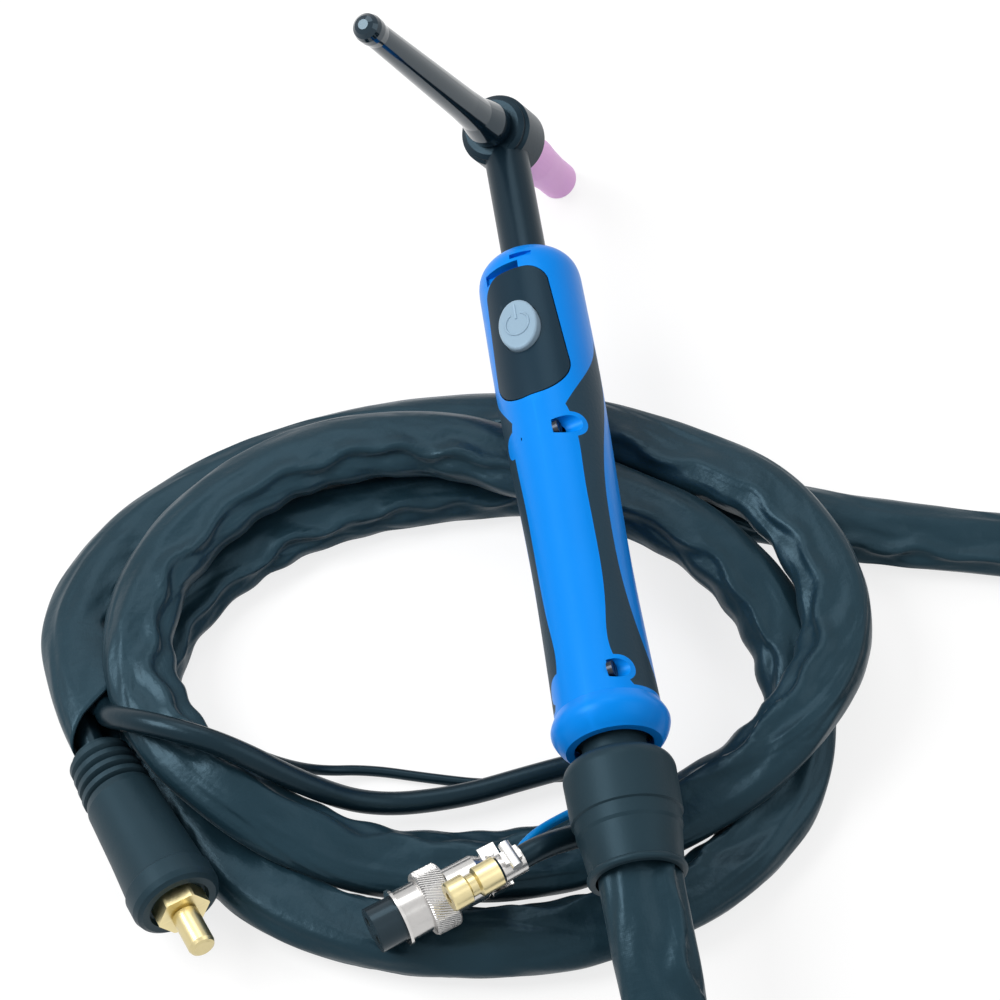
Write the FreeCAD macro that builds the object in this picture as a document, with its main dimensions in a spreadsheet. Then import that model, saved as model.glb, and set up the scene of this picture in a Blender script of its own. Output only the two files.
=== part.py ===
import FreeCAD, Part
import math
import os
import re
import Sketcher
from FreeCAD import Placement, Rotation, Vector

# A TIG torch with a ball-jointed handle, lying on its own coiled cable set.
# The torch frame has its origin where the neck enters the handle, +Y towards the head
# and +Z out of the button. The floor is Z = 0 in the part's own frame.

doc = FreeCAD.newDocument("tig_torch")
sheet = doc.addObject("Spreadsheet::Sheet", "Sizes")

SIZES = {
    # how the torch lies
    "torch_x": 12, "torch_y": 80.5, "roll_angle": 25.3, "lean_angle": 15,
    "gap": 0.25, "seat_gap": 0.1,
    # head and neck
    "head_ahead": 58, "drum_radius": 13.2, "drum_front": 11, "drum_back": 10.4, "drum_edge": 2.4,
    "neck_radius": 8, "neck_depth": 12,
    "core_radius": 8.6, "core_front": 9, "core_back": 7, "core_bore": 4.6,
    "tube_radius": 4, "tube_bore": 2.4, "tube_depth": 30,
    # back cap
    "cap_end": 123, "cap_base_radius": 8, "cap_mid_radius": 5.9, "cap_tip_radius": 4.5,
    "cap_ball_radius": 5, "cap_flare": 26, "cap_bore": 1.9, "cap_stub_radius": 4.5, "cap_stub_length": 6,
    "ring_thickness": 1.6, "ring_radius": 6.4, "cap_pitch": 0.8,
    # collet, collet body, gasket, nozzle and electrode
    "electrode_radius": 1.2, "electrode_recess": 2, "electrode_length": 150,
    "collet_radius": 1.95,
    "holder_radius": 3.6, "holder_head_radius": 4.4, "holder_collar_radius": 5.6, "holder_collar": 9,
    "holder_length": 40, "holder_bore": 2.1,
    "gasket_radius": 9.2, "gasket_thickness": 5, "cup_gap": 0.3, "cup_length": 41.2,
    "cup_rear_radius": 8.6, "cup_waist_radius": 7.9, "cup_tip_radius": 7.25, "cup_bore": 4.75,
    "cup_seat_bore": 5.75,
    # handle
    "nose_radius": 10, "front_radius": 18.2, "grip_radius": 18.4, "waist_radius": 16.7,
    "rear_radius": 17.5, "collar_radius": 19.6, "collar_end_radius": 15.8,
    "nose_length": 14, "grip_at": 50, "waist_at": 132, "swell_at": 156, "collar_at": 180.8, "ball_at": 183,
    "collar_end": 193.4, "cavity_radius": 13.6, "cavity_front": 12, "cavity_rear": 164,
    "passage_radius": 11.6, "mouth_radius": 13.1,
    "inlay_depth": 1.3, "slot_front": 10.4, "slot_left": 10.4, "slot_width": 13.5, "slot_floor": 13.2,
    "boss_radius": 3.5, "scoop_radius": 3.4, "rim_radius": 5,
    "front_screw_at": 80, "front_screw_height": 14.9, "front_scoop_floor": 4.6,
    "rear_screw_at": 173.4, "rear_screw_height": 13.9, "rear_scoop_floor": 7.7,
    "screw_head_radius": 2.7, "screw_head": 1.8, "screw_radius": 1.4, "screw_length": 12,
    # switch
    "cover_front": 13.7, "cover_rear": 65.5, "cover_front_half": 11.2, "cover_rear_half": 14,
    "cover_front_corner": 7, "cover_rear_corner": 11, "cover_raise": 0.25, "cover_skin": 15, "cover_low": 8,
    "button_at": 38, "button_long": 20, "button_wide": 14.4, "button_top": 20.8, "button_edge": 1.1,
    "flange_wide": 1, "flange_thick": 1.2, "press_travel": 1.2,
    "switch_long": 20, "switch_wide": 12, "switch_high": 4, "switch_floor": 5.6, "plunger_radius": 1.5,
    "plunger_high": 1.3,
    "lead_radius": 1.8,
    # fitting, cable and hose inside the handle
    "fitting_radius": 6.4, "fitting_length": 20, "crimp_radius": 5.1, "crimp_x": -3.8, "crimp_z": -4,
    "barb_radius": 2.4, "barb_x": 6, "barb_z": -4.4, "stub_length": 12,
    "cable_radius": 5, "hose_radius": 4, "hose_bore": 2.5,
    # knuckle and boot
    "socket_radius": 15.3, "seat_wall": 1.3, "ball_radius": 13.6, "boot_neck_radius": 10.6,
    "ball_front": 9, "boot_bore": 8.6, "shoulder_at": 198.5, "shoulder_radius": 18.4, "shoulder_round": 5.5,
    "seam_at": 218.8, "lower_radius": 17.2, "boot_end_radius": 15.2, "boot_end": 239.5, "boot_lip": 0.9,
    "sleeve_entry": 14,
    # sleeve
    "sleeve_wide": 22, "sleeve_thick": 16, "layer_gap": 0.8, "sleeve_lift": 0.45,
    "store_x": 274, "store_y": -165, "store_reach": 114, "store_step": 26,
    "coil_x": -32, "coil_y": -60,
    # current plug
    "plug_x": -155.5, "plug_y": -72.5, "plug_z": 15.8, "plug_heading": -69.8, "plug_lift": 9.6,
    "plug_tail_radius": 9, "plug_rib_radius": 10.8, "plug_rib_pitch": 4.4, "plug_body_radius": 12.4,
    "plug_ring_radius": 15, "plug_ribs_end": 19, "plug_ring_at": 59, "plug_length": 68,
    "plug_recess": 2.2, "plug_recess_radius": 9.9, "plug_core_radius": 7.2, "plug_core_at": 30,
    "hex_flat": 8, "hex_thick": 6, "pin_radius": 4.5, "pin_length": 15, "pin_root": 12,
    # gas nipple, clamp and hose end
    "nipple_x": -47.2, "nipple_y": -152.7, "nipple_z": 44, "nipple_heading": 23,
    "nipple_radius": 5, "nipple_waist": 3.7, "nipple_nose": 7, "nipple_groove": 3, "nipple_body": 8,
    "nipple_bore": 1.9, "clamp_wall": 0.7, "clamp_wide": 8, "worm_radius": 1.9,
    # switch plug
    "joint_x": -72, "joint_y": -153.4, "joint_z": 27.8, "joint_heading": 21,
    "insert_radius": 7.7, "insert_out": 9, "insert_length": 20, "contact_radius": 1.6, "contact_spread": 3.5,
    "nose_shell_radius": 8.6, "nose_shell_length": 9, "lip_radius": 9.7, "nut_radius": 11, "nut_length": 9.4,
    "shell_radius": 7.6, "shell_length": 14, "saddle_length": 6.5, "saddle_wide": 14, "saddle_high": 2.4,
    "spin_fit": 0.08, "wire_radius": 1.5,
}
for row, (alias, number) in enumerate(SIZES.items(), start=1):
    sheet.set("A%d" % row, alias.replace("_", " "))
    sheet.set("B%d" % row, str(number))
    sheet.setAlias("B%d" % row, alias)
doc.recompute()


def value(text):
    """The number that an expression of the sheet's names gives."""
    return float(sheet.evalExpression(text))


def bound(text):
    """The same expression as other objects of the document write it."""
    return re.sub(r"[a-z_]+", lambda word: "Sizes." + word[0] if word[0] in SIZES else word[0], text)


ROLL, LEAN = value("roll_angle"), value("lean_angle")
upright = math.cos(math.radians(ROLL)) * math.cos(math.radians(LEAN))
CUP_TIP = "-(drum_front + gasket_thickness + cup_gap + cup_length)"
REST_HEIGHT = -value(CUP_TIP) * upright + value("cup_tip_radius") * math.sqrt(1 - upright**2)
TORCH = Placement(Vector(value("torch_x"), value("torch_y"), REST_HEIGHT), Rotation(Vector(0, 1, 0), -ROLL))
HEAD = TORCH * Placement(Vector(0, value("head_ahead"), 0), Rotation(Vector(1, 0, 0), 90 + LEAN))
KNUCKLE = Placement(Vector(value("torch_x"), value("torch_y"), REST_HEIGHT), Rotation())
NODES = {}


def node(name, shape_object, place=Placement()):
    """Names one finished piece and puts it in its place."""
    shape_object.Label = name
    shape_object.Placement = place
    NODES[name] = shape_object
    return shape_object


def part_feature(name, shape, place=Placement()):
    feature = doc.addObject("Part::Feature", name)
    feature.Shape = shape
    return node(name, feature, place)


def plane(body, role):
    return next(item for item in body.Origin.OriginFeatures if item.Role == role)


def draw(sketch, outline):
    """Closed outline of straight lines, each corner tied to the sheet."""
    spots = [Vector(value(across), value(along), 0) for across, along in outline]
    for k, spot in enumerate(spots):
        sketch.addGeometry(Part.LineSegment(spot, spots[(k + 1) % len(spots)]))
    for k in range(len(spots)):
        sketch.addConstraint(Sketcher.Constraint("Coincident", k, 2, (k + 1) % len(spots), 1))
    for k, corner in enumerate(outline):
        for text, kind, axis in ((corner[0], "DistanceX", -2), (corner[1], "DistanceY", -1)):
            if text == "0":
                sketch.addConstraint(Sketcher.Constraint("PointOnObject", k, 1, axis))
            else:
                index = sketch.addConstraint(Sketcher.Constraint(kind, -1, 1, k, 1, value(text)))
                sketch.setExpression("Constraints[%d]" % index, bound(text))


def sketched(name, outline, role):
    body = doc.addObject("PartDesign::Body", name)
    sketch = body.newObject("Sketcher::SketchObject", name + "_outline")
    sketch.AttachmentSupport = (plane(body, role), [""])
    sketch.MapMode = "FlatFace"
    draw(sketch, outline)
    return body, sketch


def turned(name, outline):
    """A piece turned about the Y axis: (radius, station) corners."""
    body, sketch = sketched(name, outline, "XY_Plane")
    revolution = body.newObject("PartDesign::Revolution", name + "_turned")
    revolution.Profile = sketch
    revolution.ReferenceAxis = (sketch, ["V_Axis"])
    revolution.Angle = 360
    return body


def bush(name, inner, outer, low, high):
    """A turned ring or, where the inner radius is 0, a plain rod."""
    return turned(name, [(inner, low), (outer, low), (outer, high), (inner, high)])


def rod(name, radius, low, high, across="0", above="0"):
    """A cylinder along Y, from one station to the other."""
    cylinder = doc.addObject("Part::Cylinder", name)
    cylinder.setExpression("Radius", bound(radius))
    cylinder.setExpression("Height", bound("(%s) - (%s)" % (high, low)))
    cylinder.Placement.Rotation = Rotation(Vector(1, 0, 0), -90)
    for axis, text in (("x", across), ("y", low), ("z", above)):
        cylinder.setExpression("Placement.Base." + axis, bound(text))
    return cylinder


def block(name, sizes, low_corner=()):
    """A box with its sizes and, where given, its lowest corner tied to the sheet."""
    box = doc.addObject("Part::Box", name)
    for side, text in zip(("Length", "Width", "Height"), sizes):
        box.setExpression(side, bound(text))
    for axis, text in zip("xyz", low_corner):
        box.setExpression("Placement.Base." + axis, bound(text))
    return box


def cut(name, base, *tools):
    result = base
    for k, tool in enumerate(tools):
        step = doc.addObject("Part::Cut", "%s_cut_%s" % (name, "abcdefgh"[k]))
        step.Base, step.Tool = result, tool
        result = step
    return result


def fused(name, *shapes):
    fusion = doc.addObject("Part::MultiFuse", name + "_fused")
    fusion.Shapes = list(shapes)
    return fusion


# head, on its own axis: local +Y runs out of the head towards the tip of the back cap
drum = turned("head_drum", [
    ("core_bore", "-drum_front"), ("drum_radius - drum_edge", "-drum_front"),
    ("drum_radius", "-drum_front + drum_edge"), ("drum_radius", "drum_back - drum_edge * 1.6"),
    ("drum_radius - drum_edge / 2", "drum_back - drum_edge * 1.2"),
    ("drum_radius - drum_edge / 2", "drum_back - drum_edge / 2"),
    ("drum_radius - drum_edge * 1.2", "drum_back"), ("core_bore", "drum_back")])
drum.Placement = Placement(Vector(0, value("head_ahead"), 0), Rotation(Vector(1, 0, 0), 90 + LEAN))
neck_cover = rod("neck_cover", "neck_radius", "-neck_depth", "head_ahead")
core_room = bush("core_room", "0", "core_radius + seat_gap", "-core_front - seat_gap", "core_back + seat_gap")
core_room.Placement = drum.Placement
cap_way = bush("cap_way", "0", "cap_stub_radius + gap", "-drum_front - 1", "drum_back + 1")
cap_way.Placement = drum.Placement
tube_way = rod("tube_way", "tube_radius + seat_gap", "-neck_depth - 1", "head_ahead")
node("head_insulation", cut("head_insulation", fused("head_insulation", drum, neck_cover),
                            core_room, cap_way, tube_way), TORCH)
core_bush = bush("core_bush", "core_bore", "core_radius", "-core_front", "core_back")
core_bush.Placement = drum.Placement
tube_end = "head_ahead - core_bore - 1.5"
tube_seat = rod("tube_seat", "tube_radius + seat_gap", "0", tube_end)
node("head_core", cut("head_core", core_bush, tube_seat), TORCH)
node("neck_tube", bush("neck_tube", "tube_bore", "tube_radius", "-tube_depth", tube_end + " - seat_gap"), TORCH)

# back cap, hollow for the long electrode, with its threaded stub inside the head
cap_foot = "drum_back + ring_thickness"
node("back_cap", turned("back_cap", [
    ("cap_bore", "drum_back - cap_stub_length"), ("cap_stub_radius", "drum_back - cap_stub_length"),
    ("cap_stub_radius", cap_foot), ("cap_base_radius", cap_foot),
    ("cap_base_radius", cap_foot + " + 5"), ("cap_base_radius * 0.8", cap_foot + " + cap_flare * 0.55"),
    ("cap_mid_radius", cap_foot + " + cap_flare"), ("cap_tip_radius", "cap_end - cap_ball_radius * 2.2"),
    ("cap_ball_radius", "cap_end - cap_ball_radius * 1.4"), ("cap_ball_radius", "cap_end - cap_ball_radius * 0.8"),
    ("cap_ball_radius * 0.9", "cap_end - cap_ball_radius * 0.4"), ("cap_ball_radius * 0.66", "cap_end - cap_ball_radius * 0.13"),
    ("cap_ball_radius * 0.35", "cap_end"), ("0", "cap_end"), ("0", "cap_end - 4"), ("cap_bore", "cap_end - 4")]),
     HEAD)
oring = doc.addObject("Part::Torus", "back_cap_oring")
oring.setExpression("Radius1", bound("ring_radius"))
oring.setExpression("Radius2", bound("ring_thickness / 2 - seat_gap / 2"))
node("back_cap_oring", oring, HEAD * Placement(Vector(0, value("drum_back + ring_thickness / 2"), 0),
                                               Rotation(Vector(1, 0, 0), 90)))

# collet body, collet, electrode, white gasket and cup: stations are below the head, so negative
node("collet_body", turned("collet_body", [
    ("holder_bore", "-holder_length"), ("holder_radius * 0.8", "-holder_length"),
    ("holder_radius", "-holder_length + 2"), ("holder_radius", "-drum_front - holder_collar - 2"),
    ("holder_collar_radius", "-drum_front - holder_collar"), ("holder_collar_radius", "-drum_front - gap"),
    ("holder_head_radius", "-drum_front - gap"), ("holder_head_radius", "-2"), ("holder_bore", "-2")]), HEAD)
node("collet", bush("collet", "electrode_radius + 0.06", "collet_radius", "-holder_length + 1.5",
                    "drum_back - cap_stub_length - seat_gap"), HEAD)
node("electrode", turned("electrode", [
    ("0", CUP_TIP + " + electrode_recess"), ("electrode_radius", CUP_TIP + " + electrode_recess + 5"),
    ("electrode_radius", CUP_TIP + " + electrode_recess + electrode_length"),
    ("0", CUP_TIP + " + electrode_recess + electrode_length")]), HEAD)
node("cup_gasket", bush("cup_gasket", "holder_collar_radius + gap", "gasket_radius",
                        "-drum_front - gasket_thickness", "-drum_front - seat_gap"), HEAD)
node("nozzle", turned("nozzle", [
    ("cup_bore", CUP_TIP), ("cup_tip_radius", CUP_TIP), ("cup_tip_radius", CUP_TIP + " + 9"),
    ("cup_waist_radius", CUP_TIP + " + 20"), ("cup_rear_radius", CUP_TIP + " + 27"),
    ("cup_rear_radius", CUP_TIP + " + cup_length"), ("cup_seat_bore", CUP_TIP + " + cup_length"),
    ("cup_seat_bore", CUP_TIP + " + cup_length - 9"), ("cup_bore", CUP_TIP + " + cup_length - 14")]), HEAD)

# handle: one smooth turned form, split down the middle into two shells
GRIP = [("nose_radius", "0"), ("nose_radius + 3.8", "1.8"), ("front_radius - 1.1", "6"),
        ("front_radius", "nose_length"), ("grip_radius", "grip_at"), ("waist_radius", "waist_at"),
        ("waist_radius + 0.3", "swell_at"), ("rear_radius", "collar_at")]
COLLAR = [("rear_radius", "collar_at"), ("collar_radius - 0.9", "collar_at + 2.2"), ("collar_radius", "collar_at + 5"),
          ("collar_radius - 0.7", "collar_at + 8.2"), ("collar_end_radius + 1.9", "collar_end - 2.2"),
          ("collar_end_radius", "collar_end")]


def grip_form(inset):
    """The whole handle as a solid, drawn in by an inset."""
    edges = []
    for run in (GRIP, COLLAR):
        curve = Part.BSplineCurve()
        curve.interpolate([Vector(value(radius) - inset, -value(station), 0) for radius, station in run])
        edges.append(curve.toShape())
    first = Vector(value("nose_radius") - inset, 0, 0)
    last = Vector(value("collar_end_radius") - inset, -value("collar_end"), 0)
    corners = [last, Vector(0, last.y, 0), Vector(0, 0, 0), first]
    edges += [Part.LineSegment(a, b).toShape() for a, b in zip(corners, corners[1:])]
    return Part.Face(Part.Wire(edges)).revolve(Vector(0, 0, 0), Vector(0, 1, 0), 360)


def along(radius, low, high, x=0.0, z=0.0):
    """A cylinder solid along Y between two stations."""
    return Part.makeCylinder(radius, high - low, Vector(x, low, z), Vector(0, 1, 0))


def across(radius, low, high, station, height):
    """A cylinder solid along X at a station behind the handle's front."""
    return Part.makeCylinder(radius, high - low, Vector(low, -station, height), Vector(1, 0, 0))


def cover_form(grow, low):
    """The shield-shaped plan of the switch cover, as an upright prism."""
    front, rear = -value("cover_front") + grow, -value("cover_rear") - grow
    narrow, wide = value("cover_front_half") + grow, value("cover_rear_half") + grow
    corners = [Vector(-narrow, front, low), Vector(narrow, front, low), Vector(wide, rear, low), Vector(-wide, rear, low)]
    prism = Part.Face(Part.makePolygon(corners + corners[:1])).extrude(Vector(0, 0, 30))
    for end, station in (("front", front), ("rear", rear)):
        corners = [edge for edge in prism.Edges if abs(edge.tangentAt(edge.FirstParameter).z) > 0.9
                   and abs(edge.CenterOfMass.y - station) < 0.1]
        prism = prism.makeFillet(value("cover_%s_corner" % end), corners)
    return prism


# the inlay's edges in side view, as (station, height) behind the handle's front
INLAY_TOP = [(40, -2.5), (54, 4.6), (62.4, 10.2), (72, 15)]
INLAY_BAND = [(72, 15), (82, 13.4), (100, 13), (118, 12.6), (134, 12.5), (150, 13.4), (165, 14.3), (179.4, 10.5)]
INLAY_LOW = [(179.4, -8), (166, 1), (148, 5.6), (120, 7), (95, 5.8), (74, 0.8), (57, -4), (40, -2.5)]


def inlay_form(side):
    """The region of one inlay, cut back round the switch cover and the two screw scoops."""
    edges = []
    for run in (INLAY_TOP, INLAY_BAND, INLAY_LOW):
        curve = Part.BSplineCurve()
        curve.interpolate([Vector(side * 3, -station, height) for station, height in run])
        edges.append(curve.toShape())
    rear = [Vector(side * 3, -INLAY_BAND[-1][0], INLAY_BAND[-1][1]), Vector(side * 3, -INLAY_LOW[0][0], INLAY_LOW[0][1])]
    edges.insert(2, Part.LineSegment(*rear).toShape())
    prism = Part.Face(Part.Wire(edges)).extrude(Vector(side * 25, 0, 0)).cut(cover_form(3 * value("gap"), 0))
    for end in ("front", "rear"):
        low, high = sorted((0.0, side * 30.0))
        spot = value(end + "_screw_at"), value(end + "_screw_height")
        prism = prism.cut(across(value("rim_radius"), low, high, *spot))
    return prism


def button_hole(grow, low, high):
    """An oval prism at the button's place."""
    centre = Vector(0, -value("button_at"), low)
    oval = Part.Ellipse(centre + Vector(0, value("button_long") / 2 + grow, 0),
                        centre + Vector(value("button_wide") / 2 + grow, 0, 0), centre)
    return Part.Face(Part.Wire([oval.toShape()])).extrude(Vector(0, 0, high - low))


full_form = grip_form(0)
inset_form = grip_form(value("inlay_depth"))
ball_centre = Vector(0, -value("ball_at"), 0)
hollows = [
    along(value("neck_radius + seat_gap"), -value("cavity_front") - 1, 1),
    along(value("cavity_radius"), -value("cavity_rear"), -value("cavity_front")),
    along(value("passage_radius"), -value("ball_at"), -value("cavity_rear")),
    Part.makeSphere(value("socket_radius"), ball_centre),
    along(value("mouth_radius"), -value("collar_end") - 1, -value("ball_at") - 4),
    cover_form(value("gap"), value("cover_low")),
    Part.makeBox(value("slot_width"), value("cover_front - slot_front + 1"), 20,
                 Vector(-value("slot_left"), -value("cover_front") - 1, value("slot_floor"))),
    Part.makeBox(7.5, 2, 12, Vector(0.4, -9, value("front_radius") - 3.2)),
]
grip_shell = full_form
for hollow in hollows:
    grip_shell = grip_shell.cut(hollow)
screws = []
for end in ("front", "rear"):
    place, height, base = (value(end + name) for name in ("_screw_at", "_screw_height", "_scoop_floor"))
    boss = across(value("boss_radius"), -9, base, place, height)
    kept = boss.common(full_form).cut(Part.makeSphere(value("socket_radius"), ball_centre))
    grip_shell = grip_shell.fuse(kept)
    grip_shell = grip_shell.cut(across(value("scoop_radius"), base, 20, place, height))
    grip_shell = grip_shell.cut(across(value("screw_radius + seat_gap"), base - value("screw_length"), base, place, height))
    floor = base + value("seat_gap")
    head = across(value("screw_head_radius"), floor, floor + value("screw_head"), place, height)
    slot = Part.makeBox(1, 4.4, 0.7, Vector(floor + value("screw_head") - 0.9, -place - 2.2, height - 0.35))
    shank = across(value("screw_radius"), floor - value("screw_length") + 0.6, floor, place, height)
    screws.append(head.cut(slot).fuse(shank))
for side, name in ((-1, "left"), (1, "right")):
    inlay = full_form.cut(inset_form).common(inlay_form(side))
    part_feature(name + "_inlay", inlay, TORCH)
    half = Part.makeBox(40, 240, 80, Vector(0 if side > 0 else -40, -220, -40))
    shell = grip_shell.common(half).cut(inlay)
    part_feature(name + "_shell", shell, TORCH)
part_feature("handle_screws", Part.makeCompound(screws), TORCH)

# switch cover, button, microswitch and its plunger
cover = grip_form(-value("cover_raise")).common(cover_form(0, value("cover_low")))
cover = cover.cut(along(value("cover_skin"), -value("cover_rear") - 1, -value("cover_front") + 1))
cover = cover.cut(button_hole(value("gap"), 0, 30))
part_feature("switch_cover", cover, TORCH)
flange_top = value("cover_skin") - 0.6
button = button_hole(0, flange_top, value("button_top"))
rim = [edge for edge in button.Edges if edge.BoundBox.ZMin > value("button_top") - 0.01]
button = button.makeFillet(value("button_edge"), rim)
ring_centre = Vector(0, -value("button_at"), value("button_top") - 0.3)
mark = Part.makeCylinder(4.7, 0.5, ring_centre).cut(Part.makeCylinder(4, 0.5, ring_centre))
mark = mark.cut(Part.makeBox(3.4, 6, 2, ring_centre + Vector(-1.7, 0, -0.5)))
mark = mark.fuse(Part.makeBox(0.7, 5.8, 0.5, ring_centre + Vector(-0.35, 2, 0)))
stem_foot = value("switch_floor + switch_high + seat_gap + plunger_high")
stem = Part.makeCylinder(2.2, flange_top - stem_foot, Vector(0, -value("button_at"), stem_foot))
skirt = button_hole(value("flange_wide"), flange_top - value("flange_thick"), flange_top)
low_skirt = along(value("cover_skin") - value("gap"), -value("cover_rear"), -value("cover_front"))
part_feature("button", button.fuse([mark, stem, skirt.common(low_skirt)]), TORCH)
switch_top = "switch_floor + switch_high"
switch_box = block("microswitch", ("switch_wide", "switch_long", "switch_high"),
                   ("-switch_wide / 2", "-button_at - switch_long / 2", "switch_floor"))
plunger_way = doc.addObject("Part::Cylinder", "plunger_way")
plunger_way.setExpression("Radius", bound("plunger_radius + gap"))
plunger_way.setExpression("Height", bound("press_travel + 2"))
plunger_way.setExpression("Placement.Base.y", bound("-button_at"))
plunger_way.setExpression("Placement.Base.z", bound(switch_top + " - press_travel - gap"))
node("microswitch", cut("microswitch", switch_box, plunger_way), TORCH)
plunger = doc.addObject("Part::Cylinder", "switch_plunger")
plunger.setExpression("Radius", bound("plunger_radius"))
plunger.setExpression("Height", bound("plunger_high"))
node("switch_plunger", plunger, TORCH * Placement(Vector(0, -value("button_at"), value(switch_top + " + seat_gap")), Rotation()))

# brass fitting, with the crimped power cable, the gas hose and the switch leads behind it
fitting_rear = "-tube_depth - fitting_length"
fitting_block = rod("fitting_block", "fitting_radius", fitting_rear, "-tube_depth - gap", "0", "-1")
crimp = rod("crimp", "crimp_radius", fitting_rear + " - stub_length", fitting_rear + " + 1", "crimp_x", "crimp_z")
barb = rod("barb", "barb_radius", fitting_rear + " - stub_length", fitting_rear + " + 1", "barb_x", "barb_z")
node("torch_fitting", fused("torch_fitting", fitting_block, crimp, barb), TORCH)
cable_start = fitting_rear + " - stub_length - seat_gap"
node("power_cable_front", bush("power_cable_front", "0", "cable_radius", "-cavity_rear + 2", cable_start),
     TORCH * Placement(Vector(value("crimp_x"), 0, value("crimp_z")), Rotation()))
hose_outer = rod("hose_outer", "hose_radius", "-cavity_rear + 2", fitting_rear + " - seat_gap", "barb_x", "barb_z")
hose_inner = rod("hose_inner", "hose_bore", "-cavity_rear + 1", fitting_rear, "barb_x", "barb_z")
node("gas_hose_front", cut("gas_hose_front", hose_outer, hose_inner), TORCH)
node("switch_leads", bush("switch_leads", "0", "lead_radius", "-cavity_rear + 2",
                          "-button_at - switch_long / 2 - seat_gap"),
     TORCH * Placement(Vector(0, 0, value("switch_floor + lead_radius")), Rotation()))

# knuckle: bearing ring in the collar, and the ball with its rubber boot over the sleeve's end
outer_ball = Part.makeSphere(value("socket_radius") - 0.2, ball_centre)
inner_ball = Part.makeSphere(value("socket_radius") - 0.2 - value("seat_wall"), ball_centre)
seat = outer_ball.cut(inner_ball).common(along(30, -value("ball_at") - 6, -value("ball_at") + 6))
part_feature("knuckle_seat", seat, KNUCKLE)


def boot_form():
    """Ball, neck and tapering boot as one turned solid with a way through for the cables."""
    outline = [Part.LineSegment(Vector(0, 0, 0), Vector(1, 0, 0))]
    centre = -value("ball_at")
    ball, neck = value("ball_radius"), value("boot_neck_radius")
    front, back = value("ball_front"), math.sqrt(value("ball_radius")**2 - value("boot_neck_radius")**2)
    start = Vector(math.sqrt(ball**2 - front**2), centre + front, 0)
    outline = [Part.Arc(start, Vector(ball, centre, 0), Vector(neck, centre - back, 0)).toShape()]
    shoulder, bend = value("shoulder_radius"), value("shoulder_round")
    top = -value("shoulder_at")
    leg = bend * (1 - math.sqrt(0.5))
    outline.append(Part.LineSegment(Vector(neck, centre - back, 0), Vector(neck, top, 0)).toShape())
    outline.append(Part.LineSegment(Vector(neck, top, 0), Vector(shoulder - bend, top, 0)).toShape())
    outline.append(Part.Arc(Vector(shoulder - bend, top, 0), Vector(shoulder - leg, top - leg, 0),
                            Vector(shoulder, top - bend, 0)).toShape())
    seam, lower = -value("seam_at"), value("lower_radius")
    rim, lip = value("boot_end_radius"), value("boot_lip")
    end = -value("boot_end")
    corners = [Vector(shoulder, top - bend, 0), Vector(lower + 0.9, seam, 0), Vector(lower + 0.2, seam - 0.5, 0),
               Vector(lower, seam - 5, 0), Vector(lower - 0.5, seam - 6.2, 0), Vector(rim, end + 2.5, 0)]
    outline += [Part.LineSegment(a, b).toShape() for a, b in zip(corners, corners[1:])]
    outline.append(Part.Arc(Vector(rim, end + 2.5, 0), Vector(rim + lip, end + 1, 0), Vector(rim, end, 0)).toShape())
    inner = [Vector(rim, end, 0), Vector(rim - 1.6, end, 0), Vector(rim - 2.2, seam, 0),
             Vector(value("boot_bore"), top - 6, 0), Vector(value("boot_bore"), centre + front, 0), start]
    outline += [Part.LineSegment(a, b).toShape() for a, b in zip(inner, inner[1:])]
    return Part.Face(Part.Wire(outline)).revolve(Vector(0, 0, 0), Vector(0, 1, 0), 360)


part_feature("knuckle_boot", boot_form(), KNUCKLE)


# the cable sleeve: a flattened tube swept along runs and arcs
def corner_arcs(points):
    """Straight runs joined by tangent arcs, each as large as its two runs allow."""
    edges, radii = [], []
    here = points[0]
    for before, corner, after in zip(points, points[1:], points[2:]):
        back, onward = before - corner, after - corner
        reach = 0.45 * min(back.Length, onward.Length)
        turn = math.pi - back.getAngle(onward)
        radii.append(reach / math.tan(turn / 2))
        start = corner + back.normalize() * reach
        end = corner + onward.normalize() * reach
        inward = (back + onward).normalize()
        depth = reach / math.cos(turn / 2) if turn < 0 else reach * (1 / math.sin((math.pi - turn) / 2 + 1e-12))
        centre_distance = math.hypot(radii[-1], reach)
        middle = corner + inward * (centre_distance - radii[-1])
        edges.append(Part.LineSegment(here, start).toShape())
        edges.append(Part.Arc(start, middle, end).toShape())
        here = end
    edges.append(Part.LineSegment(here, points[-1]).toShape())
    return edges, radii


def one_arc(start, heading, end, swapped=False):
    """The arc, or line, that leaves the start along a heading, run from the end if swapped; and its radius."""
    chord = end - start
    normal = heading.cross(chord)
    if normal.Length < 1e-6 * chord.Length:
        ends = (end, start) if swapped else (start, end)
        return Part.LineSegment(*ends).toShape(), math.inf
    inward = normal.cross(heading).normalize()
    radius = chord.dot(chord) / (2 * chord.dot(inward))
    centre = start + inward * radius
    outward = ((start + end) * 0.5 - centre).normalize()
    spots = [start, centre + outward * abs(radius), end]
    if swapped:
        spots.reverse()
    return Part.Arc(*spots).toShape(), abs(radius)


def biarcs(points, headings):
    """Two tangent arcs from each point to the next."""
    edges, radii = [], []
    for p, q, go, come in zip(points, points[1:], headings, headings[1:]):
        span = q - p
        reach = span.dot(go + come)
        quad = 2 * (1 - go.dot(come))
        if quad > 1e-9:
            step = (-reach + math.sqrt(reach**2 + quad * span.dot(span))) / quad
        else:
            step = span.dot(span) / (4 * span.dot(come))
        joint = (p + go * step + q - come * step) * 0.5
        for edge, radius in (one_arc(p, go, joint), one_arc(q, come * -1, joint, True)):
            edges.append(edge)
            radii.append(radius)
    return edges, radii


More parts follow.
